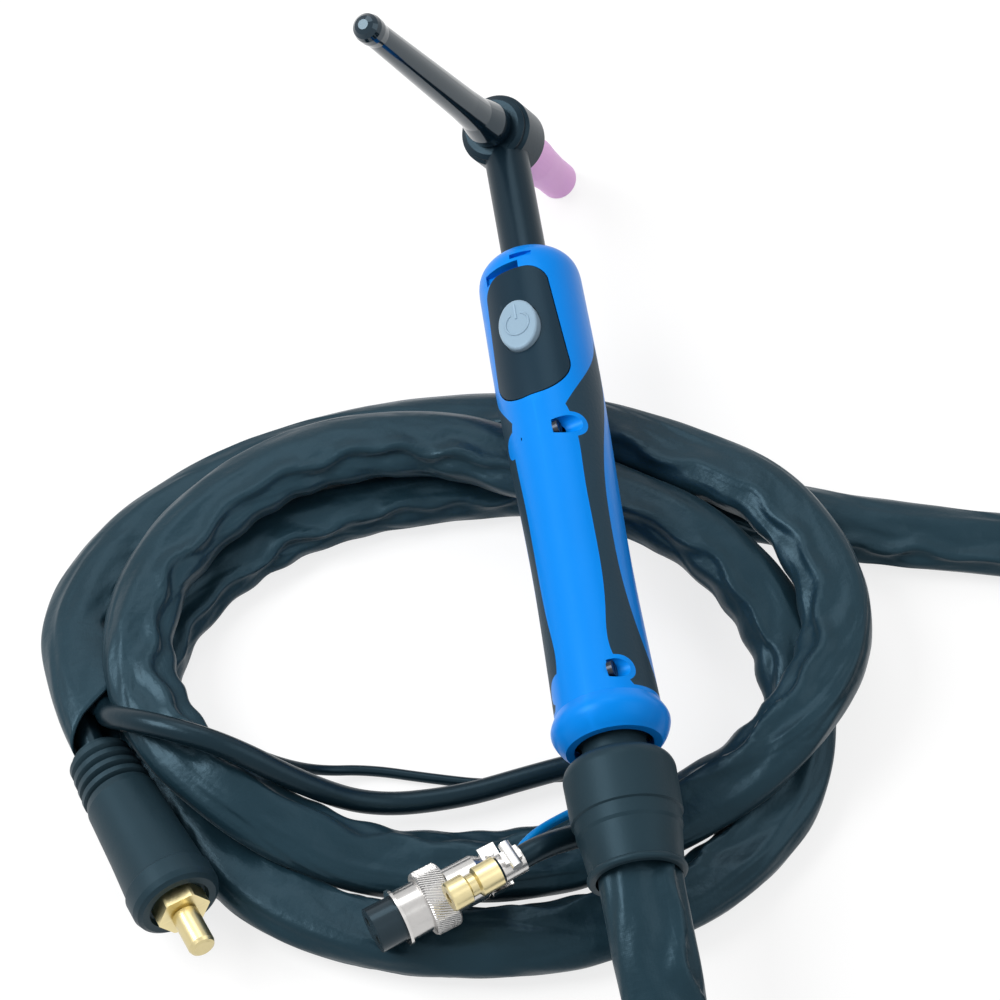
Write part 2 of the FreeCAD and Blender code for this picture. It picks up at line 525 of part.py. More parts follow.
def swept(name, edges, radii, half_wide, half_thick):
    """A tube of oval section along a path, with its radii and volume printed."""
    path = Part.Wire(edges)
    start = path.Edges[0].valueAt(path.Edges[0].FirstParameter)
    heading = path.Edges[0].tangentAt(path.Edges[0].FirstParameter)
    side = heading.cross(Vector(0, 0, 1)).normalize()
    lift = side.cross(heading)
    if half_wide == half_thick:
        section = Part.Circle(start, heading, half_wide)
    else:
        section = Part.Ellipse(start + side * half_wide, start + lift * half_thick, start)
    shell = Part.BRepOffsetAPI.MakePipeShell(path)
    shell.add(Part.Wire([section.toShape()]), False, False)
    shell.build()
    shell.makeSolid()
    solid = shell.shape()
    expected = math.pi * half_wide * half_thick * path.Length
    print("%s: length %.0f, least radius %.0f, volume %.0f of %.0f" % (
        name, path.Length, min(radii), solid.Volume, expected))
    part_feature(name, solid)
    return path


HALF_WIDE, HALF_THICK = value("sleeve_wide / 2"), value("sleeve_thick / 2")
LOW = HALF_THICK + value("sleeve_lift")
HIGH = LOW + value("sleeve_thick + layer_gap")


def smooth(points, first=None, last=None):
    """One curve through all points, with its end headings where they are given."""
    curve = Part.BSplineCurve()
    if first:
        curve.interpolate(Points=points, InitialTangent=first, FinalTangent=last)
    else:
        curve.interpolate(points)
    return curve


def stations(curve, spacing):
    """Evenly spaced points of a curve with their headings."""
    count = round(curve.length() / spacing)
    marks = [curve.parameterAtDistance(curve.length() * k / count) for k in range(count + 1)]
    return [curve.value(mark) for mark in marks], [Vector(curve.tangent(mark)[0]) for mark in marks]


def wound(keys, centre_x, centre_y):
    """Points of wound turns from their angle, reach and height."""
    return [Vector(centre_x + reach * math.cos(math.radians(angle)),
                   centre_y + reach * math.sin(math.radians(angle)), height) for angle, reach, height in keys]


# the loose coil under the handle: angle about its centre, reach and height of the sleeve's middle
COIL_KEYS = [
    (22, 134, LOW), (45, 98, LOW), (68, 83, LOW), (90, 78, LOW), (112, 82, LOW), (135, 92, LOW), (155, 102, LOW),
    (170, 106.5, LOW), (187, 103, LOW), (205, 100, LOW), (225, 98.5, LOW), (247, 94.5, LOW), (270, 94, LOW),
    (293, 101.5, LOW), (315, 113, LOW), (337, 119.5, LOW + 1), (360, 113, LOW + 9), (382, 98, HIGH), (403, 84, HIGH),
    (426, 81.5, HIGH), (450, 89, HIGH), (473, 97, HIGH), (493, 103, HIGH), (512, 108, HIGH), (528, 108.5, HIGH),
    (544, 102, HIGH), (562, 90, HIGH), (581, 78, LOW + 8.5), (600, 71, LOW + 1), (630, 67.5, LOW),
    (655, 74, LOW + 0.5), (677, 88, LOW + 3.5), (697, 109, HIGH + 1), (718, 127, HIGH + 5), (742, 123.5, HIGH + 3),
    (762, 108.5, HIGH), (780, 105.5, HIGH - 5), (798, 105, LOW + 1), (815, 105, LOW), (835, 110, LOW),
    (853, 119, LOW), (868, 128, LOW + 0.5), (881, 131.5, LOW + 3), (892, 129, LOW + 6), (901, 125.5, LOW + 9)]
coil_points, coil_headings = stations(smooth(wound(COIL_KEYS, value("coil_x"), value("coil_y"))), 32)
coil_edges, coil_radii = biarcs(coil_points, coil_headings)

# the length put away beyond it: in, up a layer where the spiral reverses, and out again
reach, step_in = value("store_reach"), value("store_step")
inmost = reach - step_in * 1.25
STORE_KEYS = [(30 * k - 90, reach - step_in * k / 12, LOW + 0.1) for k in range(16)]
STORE_KEYS += [(30 * k + 390, inmost, LOW + (HIGH - LOW) * rise) for k, rise in enumerate((0.06, 0.25, 0.5, 0.75, 0.94))]
STORE_KEYS += [(30 * k + 540, inmost + step_in * k / 12, HIGH) for k in range(10)]
store_points, store_headings = stations(smooth(wound(STORE_KEYS, value("store_x"), value("store_y"))), 55)
store_edges, store_radii = biarcs(store_points, store_headings)


def straight_on(point, heading, distance):
    return point + heading * distance


boot_mouth = KNUCKLE.multVec(Vector(0, -value("boot_end") + value("sleeve_entry"), 0))
LEAD_POINTS = [
    boot_mouth, boot_mouth + Vector(0.5, -34, -1), Vector(15, -206, 41), Vector(20, -232, 22),
    Vector(36, -255, 10), Vector(64, -270, LOW + 0.5), Vector(100, -277.5, LOW + 0.2), Vector(140, -280.5, LOW + 0.1),
    Vector(190, -280.3, LOW + 0.1), straight_on(store_points[0], store_headings[0], -25), store_points[0]]
lead_edges, lead_radii = corner_arcs(LEAD_POINTS)
LINK_POINTS = [
    store_points[-1], straight_on(store_points[-1], store_headings[-1], 28), Vector(216, -46, 17.5),
    Vector(187, -37.5, LOW), Vector(158, -29.5, LOW), straight_on(coil_points[0], coil_headings[0], -26), coil_points[0]]
link_edges, link_radii = corner_arcs(LINK_POINTS)
for name, edges, radii in (("sleeve_lead", lead_edges, lead_radii), ("sleeve_stored_coil", store_edges, store_radii),
                           ("sleeve_link", link_edges, link_radii), ("sleeve_coil", coil_edges, coil_radii)):
    swept(name, edges, radii, HALF_WIDE, HALF_THICK)


def least_gap(name, edges):
    """The smallest clearance of a wound tube to itself, measured on points of its skin."""
    path = Part.Wire(edges)
    stations = path.discretize(Distance=5)
    rings = []
    for before, here, after in zip(stations, stations[1:], stations[2:]):
        heading = (after - before).normalize()
        side = heading.cross(Vector(0, 0, 1)).normalize()
        lift = side.cross(heading)
        rings.append((here, [here + side * (HALF_WIDE * math.cos(a)) + lift * (HALF_THICK * math.sin(a))
                             for a in (math.pi * k / 10 for k in range(20))]))
    gap = 999.0
    for k, (here, ring) in enumerate(rings):
        for there, other in rings[k + 16:]:
            if (here - there).Length < 2 * HALF_WIDE + 2:
                gap = min([gap] + [(p - q).Length for p in ring for q in other])
    print("%s: least gap to itself %.2f" % (name, gap))


least_gap("sleeve_stored_coil", store_edges)
least_gap("sleeve_coil", coil_edges)


# current plug at the sleeve's mouth, along its own axis from the cable entry to the pin
def lying(x, y, z, heading, lift="0"):
    turn = Rotation(Vector(0, 0, 1), value(heading) - 90) * Rotation(Vector(1, 0, 0), value(lift))
    return Placement(Vector(value(x), value(y), value(z)), turn)


PLUG = lying("plug_x", "plug_y", "plug_z", "plug_heading", "plug_lift")
ribs = []
for k in range(4):
    low = "1 + plug_rib_pitch * %d" % k
    crest = "plug_rib_radius + %.1f" % (0.4 * k)
    ribs += [("plug_tail_radius", low), (crest, low + " + 1.3"), (crest, low + " + 3.1"),
             ("plug_tail_radius + 0.4", low + " + plug_rib_pitch")]
recess_floor = "plug_length - plug_recess"
node("plug_boot", turned("plug_boot", [
    ("cable_radius + gap", "0"), ("plug_tail_radius", "0")] + ribs + [
    ("plug_body_radius - 0.8", "plug_ribs_end"), ("plug_body_radius", "plug_ribs_end + 3"),
    ("plug_body_radius + 0.9", "plug_ring_at - 16"), ("plug_ring_radius - 0.7", "plug_ring_at - 0.7"),
    ("plug_ring_radius", "plug_ring_at"), ("plug_ring_radius", "plug_length - 3"),
    ("plug_ring_radius - 0.8", "plug_length - 1"), ("plug_ring_radius - 2.2", "plug_length"),
    ("plug_recess_radius + 0.5", "plug_length"), ("plug_recess_radius", recess_floor),
    ("plug_core_radius", recess_floor), ("plug_core_radius", "plug_core_at"), ("cable_radius + gap", "plug_core_at")]),
     PLUG)
hex_top = recess_floor + " + hex_thick"
core = turned("plug_core_rod", [
    ("0", "plug_core_at + seat_gap"), ("plug_core_radius", "plug_core_at + seat_gap"), ("plug_core_radius", recess_floor),
    ("hex_flat * 1.12", recess_floor + " + gap"), ("hex_flat * 1.12", hex_top), ("pin_radius - 1", hex_top),
    ("pin_radius - 1", hex_top + " - pin_root"), ("0", hex_top + " - pin_root")])
flats = doc.addObject("Part::Prism", "plug_hex")
flats.Polygon = 6
flats.setExpression("Circumradius", bound("hex_flat / 0.866"))
flats.setExpression("Height", bound("plug_length"))
flats.Placement = Placement(Vector(0, value("plug_core_at"), 0), Rotation(Vector(1, 0, 0), -90))
hex_core = doc.addObject("Part::MultiCommon", "plug_hex_core")
hex_core.Shapes = [core, flats]
node("plug_core", hex_core, PLUG)
pin_tip = hex_top + " + pin_length"
node("plug_pin", turned("plug_pin", [
    ("0", hex_top + " - pin_root"), ("pin_radius - 1", hex_top + " - pin_root"), ("pin_radius - 1", hex_top),
    ("pin_radius - 0.7", hex_top), ("pin_radius", hex_top + " + 0.7"), ("pin_radius", pin_tip + " - 1.6"),
    ("pin_radius - 0.5", pin_tip + " - 0.5"), ("pin_radius - 1.4", pin_tip), ("0", pin_tip)]), PLUG)

# gas nipple with its hose clamp: stations run from the open end back over the hose
NIPPLE = lying("nipple_x", "nipple_y", "nipple_z", "nipple_heading")
brass_end = "nipple_nose + nipple_groove + nipple_body"
node("gas_nipple", turned("gas_nipple", [
    ("nipple_bore", "0"), ("nipple_radius - 0.5", "0"), ("nipple_radius", "0.5"),
    ("nipple_radius", "nipple_nose - 0.5"), ("nipple_waist", "nipple_nose + 0.3"),
    ("nipple_waist", "nipple_nose + nipple_groove - 0.3"), ("nipple_radius", "nipple_nose + nipple_groove + 0.5"),
    ("nipple_radius", brass_end), ("nipple_bore", brass_end)]), NIPPLE)
clamp_at = brass_end + " + 0.8"
band = bush("clamp_band", "hose_radius + seat_gap", "hose_radius + clamp_wall", clamp_at, clamp_at + " + clamp_wide")
worm_house = block("worm_house", ("worm_radius * 2.4", "clamp_wide - 2", "worm_radius * 1.4"),
                   ("-worm_radius * 1.2", clamp_at + " + 1", "hose_radius + seat_gap * 3"))
worm_way = doc.addObject("Part::Cylinder", "worm_way")
worm = doc.addObject("Part::Cylinder", "clamp_screw")
for cylinder, radius, half in ((worm_way, "worm_radius", "worm_radius * 4"), (worm, "worm_radius", "worm_radius * 2.4")):
    cylinder.setExpression("Radius", bound(radius))
    cylinder.setExpression("Height", bound(half + " * 2"))
worm_spot = Vector(0, value(clamp_at + " + clamp_wide / 2"), value("hose_radius + clamp_wall + worm_radius"))
worm_way.Placement = Placement(worm_spot + Vector(-value("worm_radius * 4"), 0, 0), Rotation(Vector(0, 1, 0), 90))
node("hose_clamp", cut("hose_clamp", fused("hose_clamp", band, worm_house), worm_way), NIPPLE)
node("clamp_screw", worm, NIPPLE * Placement(worm_spot + Vector(-value("worm_radius * 2.4"), 0, 0),
                                             Rotation(Vector(0, 1, 0), 90)))

# switch plug: stations run from the open face back to the cable saddle
JOINT = lying("joint_x", "joint_y", "joint_z", "joint_heading")
nut_from = "insert_out + nose_shell_length"
nut_to = nut_from + " + nut_length"
insert = rod("insert_rod", "insert_radius", "0", "insert_length")
holes = [rod("contact_way_%s" % side, "contact_radius", "-1", "insert_length + 1", across_text)
         for side, across_text in (("left", "-contact_spread"), ("right", "contact_spread"))]
keyway = block("keyway", ("1.6", "insert_length - insert_out + 11", "1.6"),
               ("-0.8", "-1", "-insert_radius - 0.6"))
node("connector_insert", cut("connector_insert", insert, *holes, keyway), JOINT)
contacts = [bush("contact_%s" % side, "contact_radius / 2", "contact_radius", "0.6", "insert_length + 2")
            for side in ("left", "right")]
for contact, side in zip(contacts, (-1, 1)):
    contact.Placement = Placement(Vector(side * value("contact_spread"), 0, 0), Rotation())
pair = doc.addObject("Part::Compound", "connector_sockets")
pair.Links = contacts
node("connector_sockets", pair, JOINT)
node("connector_sleeve", turned("connector_sleeve", [
    ("insert_radius + seat_gap", "insert_out"), ("lip_radius", "insert_out"), ("lip_radius", "insert_out + 1"),
    ("nose_shell_radius", "insert_out + 1"),
    ("nose_shell_radius", nut_to + " - 3.4"), ("nose_shell_radius + 0.9", nut_to + " - 3.4"),
    ("nose_shell_radius + 0.9", nut_to + " - 1.6"), ("shell_radius - 1.2", nut_to + " - 1.6"),
    ("shell_radius - 1.2", nut_to + " + 6"), ("insert_radius - 1.8", nut_to + " + 6"),
    ("insert_radius - 1.8", "insert_length + seat_gap"), ("insert_radius + seat_gap", "insert_length + seat_gap")]),
     JOINT)
ring = turned("coupling_ring_rough", [
    ("nose_shell_radius + spin_fit", nut_from + " + gap"), ("nut_radius - 0.7", nut_from + " + gap"),
    ("nut_radius", nut_from + " + 1"), ("nut_radius", nut_to + " - gap - 0.8"),
    ("nut_radius - 0.7", nut_to + " - gap"), ("nose_shell_radius + 0.9 + spin_fit", nut_to + " - gap"),
    ("nose_shell_radius + 0.9 + spin_fit", nut_to + " - 3.4 - spin_fit"),
    ("nose_shell_radius + spin_fit", nut_to + " - 3.4 - spin_fit")])
facets = doc.addObject("Part::Prism", "coupling_facets")
facets.Polygon = 12
facets.setExpression("Circumradius", bound("nut_radius * 1.01"))
facets.setExpression("Height", bound("nut_length + 2"))
facets.setExpression("Placement.Base.y", bound(nut_from + " - 1"))
facets.Placement.Rotation = Rotation(Vector(1, 0, 0), -90)
ring_common = doc.addObject("Part::MultiCommon", "coupling_ring")
ring_common.Shapes = [ring, facets]
node("coupling_ring", ring_common, JOINT)
shell_end = nut_to + " + shell_length"
barrel = turned("connector_barrel", [
    ("shell_radius - 1.2", nut_to), ("shell_radius", nut_to), ("shell_radius", shell_end + " - 3"),
    ("shell_radius - 1.6", shell_end), ("wire_radius + gap", shell_end), ("wire_radius + gap", nut_to + " + 9"),
    ("shell_radius - 1.2", nut_to + " + 6.1")])
tail_block = block("connector_tail", ("saddle_wide", "saddle_length + 1", "saddle_high"),
                   ("-saddle_wide / 2", shell_end + " - 1", "-wire_radius - saddle_high"))
tail_ways, saddle_ways, saddle_screws = [], [], []
for side, across_text in (("left", "-saddle_wide / 3.2"), ("right", "saddle_wide / 3.2")):
    for kind, radius, low, high, group in (
            ("tail_way_", "1", "-wire_radius - saddle_high - 1", "wire_radius", tail_ways),
            ("saddle_way_", "1", "0", "wire_radius + saddle_high + 1", saddle_ways),
            ("saddle_screw_", "1", "-wire_radius - saddle_high + 0.3", "wire_radius + saddle_high + 0.9", saddle_screws),
            ("saddle_head_", "1.9", "wire_radius + saddle_high", "wire_radius + saddle_high + 1.3", saddle_screws)):
        cylinder = doc.addObject("Part::Cylinder", kind + side)
        cylinder.setExpression("Radius", bound(radius))
        cylinder.setExpression("Height", bound("(%s) - (%s)" % (high, low)))
        cylinder.setExpression("Placement.Base.x", bound(across_text))
        cylinder.setExpression("Placement.Base.y", bound(shell_end + " + saddle_length / 2"))
        cylinder.setExpression("Placement.Base.z", bound(low))
        group.append(cylinder)
node("connector_shell", cut("connector_shell", fused("connector_shell", barrel, tail_block), *tail_ways), JOINT)
saddle_bar = block("saddle_bar", ("saddle_wide", "saddle_length - 0.5", "saddle_high"),
                   ("-saddle_wide / 2", shell_end + " + 0.3", "wire_radius"))
node("cable_saddle", cut("cable_saddle", saddle_bar, *saddle_ways), JOINT)
node("saddle_screws", fused("saddle_screws", *saddle_screws), JOINT)


# the ends that leave the sleeve: power cable, gas hose and switch cable
def tail(name, points, first, last, radius):
    """A round cord through points, each passed on the circle that its neighbours give."""
    headings = [first.normalize()]
    for before, here, after in zip(points, points[1:], points[2:]):
        back, onward = here - before, after - here
        ratio = onward.Length / back.Length
        headings.append((back * ratio + onward * (1 / ratio)).normalize())
    edges, radii = biarcs(points, headings + [last.normalize()])
    return swept(name, edges, radii, radius, radius)


mouth, mouth_heading = coil_points[-1], coil_headings[-1]
mouth_side = mouth_heading.cross(Vector(0, 0, 1)).normalize()
plug_heading = PLUG.Rotation.multVec(Vector(0, 1, 0))
plug_rear = PLUG.Base
tail("power_cable_tail", [mouth + mouth_side * 1.6 + Vector(0, 0, -1.6), plug_rear + plug_heading,
                          plug_rear + plug_heading * 10, plug_rear + plug_heading * value("plug_core_at")],
     mouth_heading, plug_heading, value("cable_radius"))
nipple_back = NIPPLE.Rotation.multVec(Vector(0, -1, 0))
hose_end = NIPPLE.multVec(Vector(0, value(brass_end), 0))
clamp_end = NIPPLE.multVec(Vector(0, value(clamp_at + " + clamp_wide + 1"), 0))
HOSE_POINTS = [
    mouth - mouth_side * 6.4 + Vector(0, 0, 3), Vector(-148, -67, 31.8), Vector(-133, -78, 41.4),
    Vector(-111, -88, 39.6), Vector(-89, -97, 24.5), Vector(-67, -101.5, 10.4), Vector(-38, -101.5, 8.6),
    Vector(-12, -97, 8.5), Vector(6, -95, 9.5), Vector(20.9, -100.3, 12.9), Vector(27.1, -113, 20.7),
    Vector(20.9, -125.7, 27.5), Vector(4, -131, 32.4), Vector(-8, -136.2, 39.2),
    clamp_end - nipple_back * 3, clamp_end, hose_end]
tail("gas_hose_tail", HOSE_POINTS, Vector(0.15, -0.4, 0.9), nipple_back, value("hose_radius"))
joint_back = JOINT.Rotation.multVec(Vector(0, -1, 0))
wire_end = JOINT.multVec(Vector(0, value(nut_to + " + 9"), 0))
wire_out = JOINT.multVec(Vector(0, value(shell_end + " + saddle_length + 3"), 0))
meeting, meeting_heading = Vector(12.6, -107.7, 10), Vector(0, -0.84, 0.55)
SWITCH_POINTS = [
    mouth - mouth_side + Vector(0, 0, 5.9), Vector(-154, -60.5, 30), Vector(-145.5, -61.5, 37.5),
    Vector(-133, -69, 40), Vector(-115, -78, 38.5), Vector(-99, -83, 22.5), Vector(-83, -84, 7), Vector(-66, -84, 3.1),
    Vector(-46, -90, 2.6), Vector(-24, -96, 2.6), Vector(-3, -95.5, 3.1), Vector(8.3, -99, 4.7), meeting]
tail("switch_cable", SWITCH_POINTS, Vector(-0.3, -0.5, 0.8), meeting_heading, value("lead_radius"))
LEAD_END_POINTS = [meeting, Vector(8.3, -116.4, 15.6), Vector(-4, -123.5, 21), wire_out - joint_back * 4, wire_out,
                   wire_end]
tail("switch_lead_end", LEAD_END_POINTS, meeting_heading, joint_back, value("wire_radius"))

# the three cords start flush on the sleeve's end face
face = Placement(mouth, Rotation(mouth_side, mouth_heading, mouth_side.cross(mouth_heading), "YXZ"))
behind_face = Part.makeBox(value("sleeve_wide + 8"), 12, value("sleeve_thick + 3"), Vector(
    -value("sleeve_wide / 2 + 4"), value("seat_gap") - 12, -value("sleeve_thick / 2 + 1.5")))
behind_face.Placement = face
for name in ("power_cable_tail", "gas_hose_tail", "switch_cable"):
    part_feature(name, NODES[name].Shape.cut(behind_face))

# every object and every piece is sound before any file is written
doc.recompute()
faults = [item.Label for item in doc.Objects if {"Invalid", "Error"} & set(item.State)]
faults += [name for name, item in NODES.items() if not item.Shape.isValid() or not item.Shape.Solids]
if faults:
    raise SystemExit("faults in " + ", ".join(faults))

# the part's own frame: the middle of the torch's outline at the origin, the floor at zero
CORDS = ("sleeve", "power_cable_tail", "plug_", "gas_", "hose_clamp", "clamp_", "switch_cable", "switch_lead_end",
         "connector_", "cable_saddle", "saddle_", "coupling_")
boxes = [item.Shape.BoundBox for name, item in NODES.items()
         if not name.startswith(CORDS) or name == "gas_hose_front"]
middle = Vector((min(box.XMin for box in boxes) + max(box.XMax for box in boxes)) / 2,
                (min(box.YMin for box in boxes) + max(box.YMax for box in boxes)) / 2, 0)
print("middle", middle, "lowest", min(item.Shape.BoundBox.ZMin for item in NODES.values()))
os.makedirs("parts", exist_ok=True)
for name, item in NODES.items():
    item.Shape.translated(-middle).exportStep(os.path.join("parts", name + ".step"))
print("pieces", len(NODES), "solids", sum(len(item.Shape.Solids) for item in NODES.values()))
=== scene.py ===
import math

import bmesh
import bpy
from mathutils import Matrix, Vector, noise


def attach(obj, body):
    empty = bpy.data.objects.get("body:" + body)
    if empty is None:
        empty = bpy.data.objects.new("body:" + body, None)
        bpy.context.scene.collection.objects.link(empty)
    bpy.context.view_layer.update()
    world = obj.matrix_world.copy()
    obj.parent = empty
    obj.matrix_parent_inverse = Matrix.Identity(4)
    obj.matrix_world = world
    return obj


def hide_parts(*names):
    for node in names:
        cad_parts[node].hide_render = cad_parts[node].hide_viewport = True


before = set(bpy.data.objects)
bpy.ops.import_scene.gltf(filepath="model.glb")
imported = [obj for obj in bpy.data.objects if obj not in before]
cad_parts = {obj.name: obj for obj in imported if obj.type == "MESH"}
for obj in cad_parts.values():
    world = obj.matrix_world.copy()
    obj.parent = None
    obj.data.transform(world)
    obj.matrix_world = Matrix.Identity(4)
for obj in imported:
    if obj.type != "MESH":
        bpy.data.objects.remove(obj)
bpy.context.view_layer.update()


# Studio
# The torch lies on a plain white sweep under soft light from the upper left, with a weaker fill from
# the right, and is seen from above and a little behind its cable boot.
eye = bpy.data.cameras.new("eye")
eye.lens = 108
eye.sensor_width = 36
camera = bpy.data.objects.new("camera", eye)
camera.location = (-0.08633, -0.53731, 0.91773)
camera.rotation_euler = (math.radians(31.37), 0, math.radians(-8.2))
bpy.context.scene.collection.objects.link(camera)
bpy.context.scene.camera = camera
bpy.context.scene.view_settings.view_transform = "Standard"


def put(tree, kind, settings=None, **inputs):
    """Adds a shader node. settings are its own options; inputs are numbers or the sockets that feed it."""
    step = tree.nodes.new("ShaderNode" + kind)
    for option, choice in (settings or {}).items():
        setattr(step, option, choice)
    for label, given in inputs.items():
        socket = step.inputs[int(label[1:]) if label[1:].isdigit() else label.replace("_", " ")]
        if isinstance(given, bpy.types.NodeSocket):
            tree.links.new(given, socket)
        else:
            socket.default_value = given
    return step


def calc(tree, operation, *inputs):
    """A number worked out from one to three numbers or sockets."""
    fed = {"n%d" % k: given for k, given in enumerate(inputs)}
    return put(tree, "Math", {"operation": operation}, **fed).outputs[0]


def seen_directly(tree):
    """One where the camera, a mirror or glass looks at the surface, and zero for the light it gives."""
    path = put(tree, "LightPath").outputs
    return calc(tree, "MAXIMUM", path["Is Camera Ray"],
                calc(tree, "MAXIMUM", path["Is Glossy Ray"], path["Is Transmission Ray"]))


sky = bpy.data.worlds.new("sky")
sky.use_nodes = True
sky.node_tree.nodes.clear()
direct = seen_directly(sky.node_tree)
backdrop = put(sky.node_tree, "Background", Color=(1, 1, 1, 1), Strength=calc(
    sky.node_tree, "MULTIPLY_ADD", direct, 0.6, 0.4))
sky.node_tree.links.new(backdrop.outputs[0], put(sky.node_tree, "OutputWorld").inputs[0])
bpy.context.scene.world = sky

for label, place, aim, width, power in (
        ("key_light", (-0.75, 0.1, 0.95), (0, -0.05, 0), 0.6, 11),
        ("fill_light", (0.85, -0.25, 1.0), (0, -0.05, 0), 0.9, 3.2),
        ("top_light", (0.0, 0.75, 1.15), (0, 0, 0), 0.7, 3.4)):
    lamp = bpy.data.lights.new(label, "AREA")
    lamp.shape = "SQUARE"
    lamp.size = width
    lamp.energy = power
    holder = bpy.data.objects.new(label, lamp)
    holder.location = place
    holder.rotation_euler = (Vector(aim) - Vector(place)).to_track_quat("-Z", "Y").to_euler()
    bpy.context.scene.collection.objects.link(holder)


def mesh_piece(name, corners, faces, smooth=True):
    """A mesh object from its corners and faces."""
    mesh = bpy.data.meshes.new(name)
    mesh.from_pydata([tuple(corner) for corner in corners], [], faces)
    mesh.validate()
    if smooth:
        mesh.shade_smooth()
    piece = bpy.data.objects.new(name, mesh)
    bpy.context.scene.collection.objects.link(piece)
    return piece


FLOOR_HALF = 3.0
floor = mesh_piece("floor", [(-FLOOR_HALF, -FLOOR_HALF, -0.0004), (FLOOR_HALF, -FLOOR_HALF, -0.0004),
                             (FLOOR_HALF, FLOOR_HALF, -0.0004), (-FLOOR_HALF, FLOOR_HALF, -0.0004)],
                   [(0, 1, 2, 3)], False)
sweep = bpy.data.materials.new("white_sweep")
sweep.use_nodes = True
sweep.node_tree.nodes.clear()
paper = put(sweep.node_tree, "BsdfDiffuse", Color=(0.86, 0.86, 0.86, 1))
shaded = put(sweep.node_tree, "BsdfDiffuse", Color=(0.25, 0.25, 0.25, 1))
glow = put(sweep.node_tree, "Emission", Color=(1, 1, 1, 1), Strength=0.78)
lit = put(sweep.node_tree, "AddShader", n0=shaded.outputs[0], n1=glow.outputs[0])
both = put(sweep.node_tree, "MixShader", n0=seen_directly(sweep.node_tree), n1=paper.outputs[0],
           n2=lit.outputs[0])
sweep.node_tree.links.new(both.outputs[0], put(sweep.node_tree, "OutputMaterial").inputs[0])
floor.data.materials.append(sweep)


# Cable sleeve
# A lay-flat tube of coated cloth that is drawn over the power cable, the gas hose and the switch
# cable. It keeps the two creases of its flat roll, puckers on the inside of each turn and stays open
# at its far end. Its spare length lies beside the torch in a round coil.
def at(x, y, z):
    """A point of the route: millimetres on the drawing, metres here."""
    return Vector((x - 0.074, y - 0.664, z)) / 1000


LOW, HIGH = 8.45, 25.25
LEAD = [
    (12, -145, 53.7), (12.5, -179, 52.7), (15, -206, 41), (20, -232, 22), (36, -255, 10),
    (64, -270, LOW + 0.5), (100, -277.5, LOW), (140, -280.5, LOW), (190, -280.3, LOW), (230, -280, LOW)]
SPARE = [(30 * k - 90, 114 - 2.17 * k, LOW + 0.1) for k in range(16)]
SPARE += [(30 * k + 390, 81.5, LOW + rise) for k, rise in enumerate((1, 4.2, 8.4, 12.6, 15.8))]
SPARE += [(30 * k + 540, 81.5 + 2.17 * k, HIGH) for k in range(10)]
LINK = [(240, -50, HIGH), (216, -46, 17.5), (187, -37.5, LOW), (158, -29.5, LOW), (120, -19.5, LOW)]
COIL = [
    (22, 134, LOW), (45, 98, LOW), (68, 83, LOW), (90, 78, LOW), (112, 82, LOW), (135, 92, LOW),
    (155, 102, LOW), (170, 106.5, LOW), (187, 103, LOW), (205, 100, LOW), (225, 98.5, LOW), (247, 94.5, LOW),
    (270, 94, LOW), (293, 101.5, LOW), (315, 113, LOW), (337, 119.5, LOW + 1), (360, 113, LOW + 9),
    (382, 98, HIGH), (403, 84, HIGH), (426, 81.5, HIGH), (450, 89, HIGH), (473, 97, HIGH), (493, 103, HIGH),
    (512, 108, HIGH), (528, 108.5, HIGH), (544, 102, HIGH), (562, 90, HIGH), (581, 78, LOW + 8.5),
    (600, 71, LOW + 1), (630, 67.5, LOW), (655, 74, LOW + 0.5), (677, 88, LOW + 3.5), (697, 113, HIGH + 1),
    (718, 132.5, HIGH + 5), (742, 128, HIGH + 3), (762, 108.5, HIGH), (780, 105.5, HIGH - 5),
    (798, 105, LOW + 1), (815, 105, LOW), (835, 110, LOW), (853, 119, LOW), (868, 128.5, LOW + 0.5),
    (881, 132, LOW + 4), (891.5, 125.5, LOW + 8), (900.7, 117.5, LOW + 10)]


def turns(centre, keys, outward):
    """Points of a coil from their angle, reach and height; outward widens it, as a spline cuts corners."""
    return [(centre[0] + reach * outward * math.cos(math.radians(angle)),
             centre[1] + reach * outward * math.sin(math.radians(angle)), height)
            for angle, reach, height in keys]


def cord_curve(name, route, resolution=16):
    """An open smooth spline with the route's points as its control points."""
    curve = bpy.data.curves.new(name, "CURVE")
    curve.dimensions = "3D"
    run = curve.splines.new("NURBS")
    run.points.add(len(route) - 1)
    for knot, point in zip(run.points, route):
        knot.co = (*point, 1)
    run.order_u = 3
    run.use_endpoint_u = True
    curve.resolution_u = resolution
    run.resolution_u = resolution
    piece = bpy.data.objects.new(name, curve)
    bpy.context.scene.collection.objects.link(piece)
    return piece


def line_of(piece):
    """The points of a cord's own spline."""
    mesh = bpy.data.meshes.new_from_object(piece)
    points = [corner.co.copy() for corner in mesh.vertices]
    bpy.data.meshes.remove(mesh)
    return points


SPARE_CENTRE, SPARE_WIDENED = (274, -165), 1.034
COIL_CENTRE, COIL_WIDENED = (-32, -60), 1.016
spare_turns = turns(SPARE_CENTRE, SPARE, SPARE_WIDENED)
coil_turns = turns(COIL_CENTRE, COIL, COIL_WIDENED)
route = [at(*point) for point in LEAD + spare_turns + LINK + coil_turns]
sleeve_route = cord_curve("sleeve_route", route, 20)
sleeve_line = line_of(sleeve_route)
bpy.data.objects.remove(sleeve_route)


def ripple(*place):
    """Smooth noise from -1 to 1."""
    return noise.noise(Vector(place))


def bell(gap, width):
    """One at no gap, falling to nothing over a few widths; the gap is an angle."""
    gap = (gap + math.pi) % (2 * math.pi) - math.pi
    return math.exp(-(gap / width) ** 2)


SLEEVE_WIDE, SLEEVE_THICK = 0.0122, 0.0078


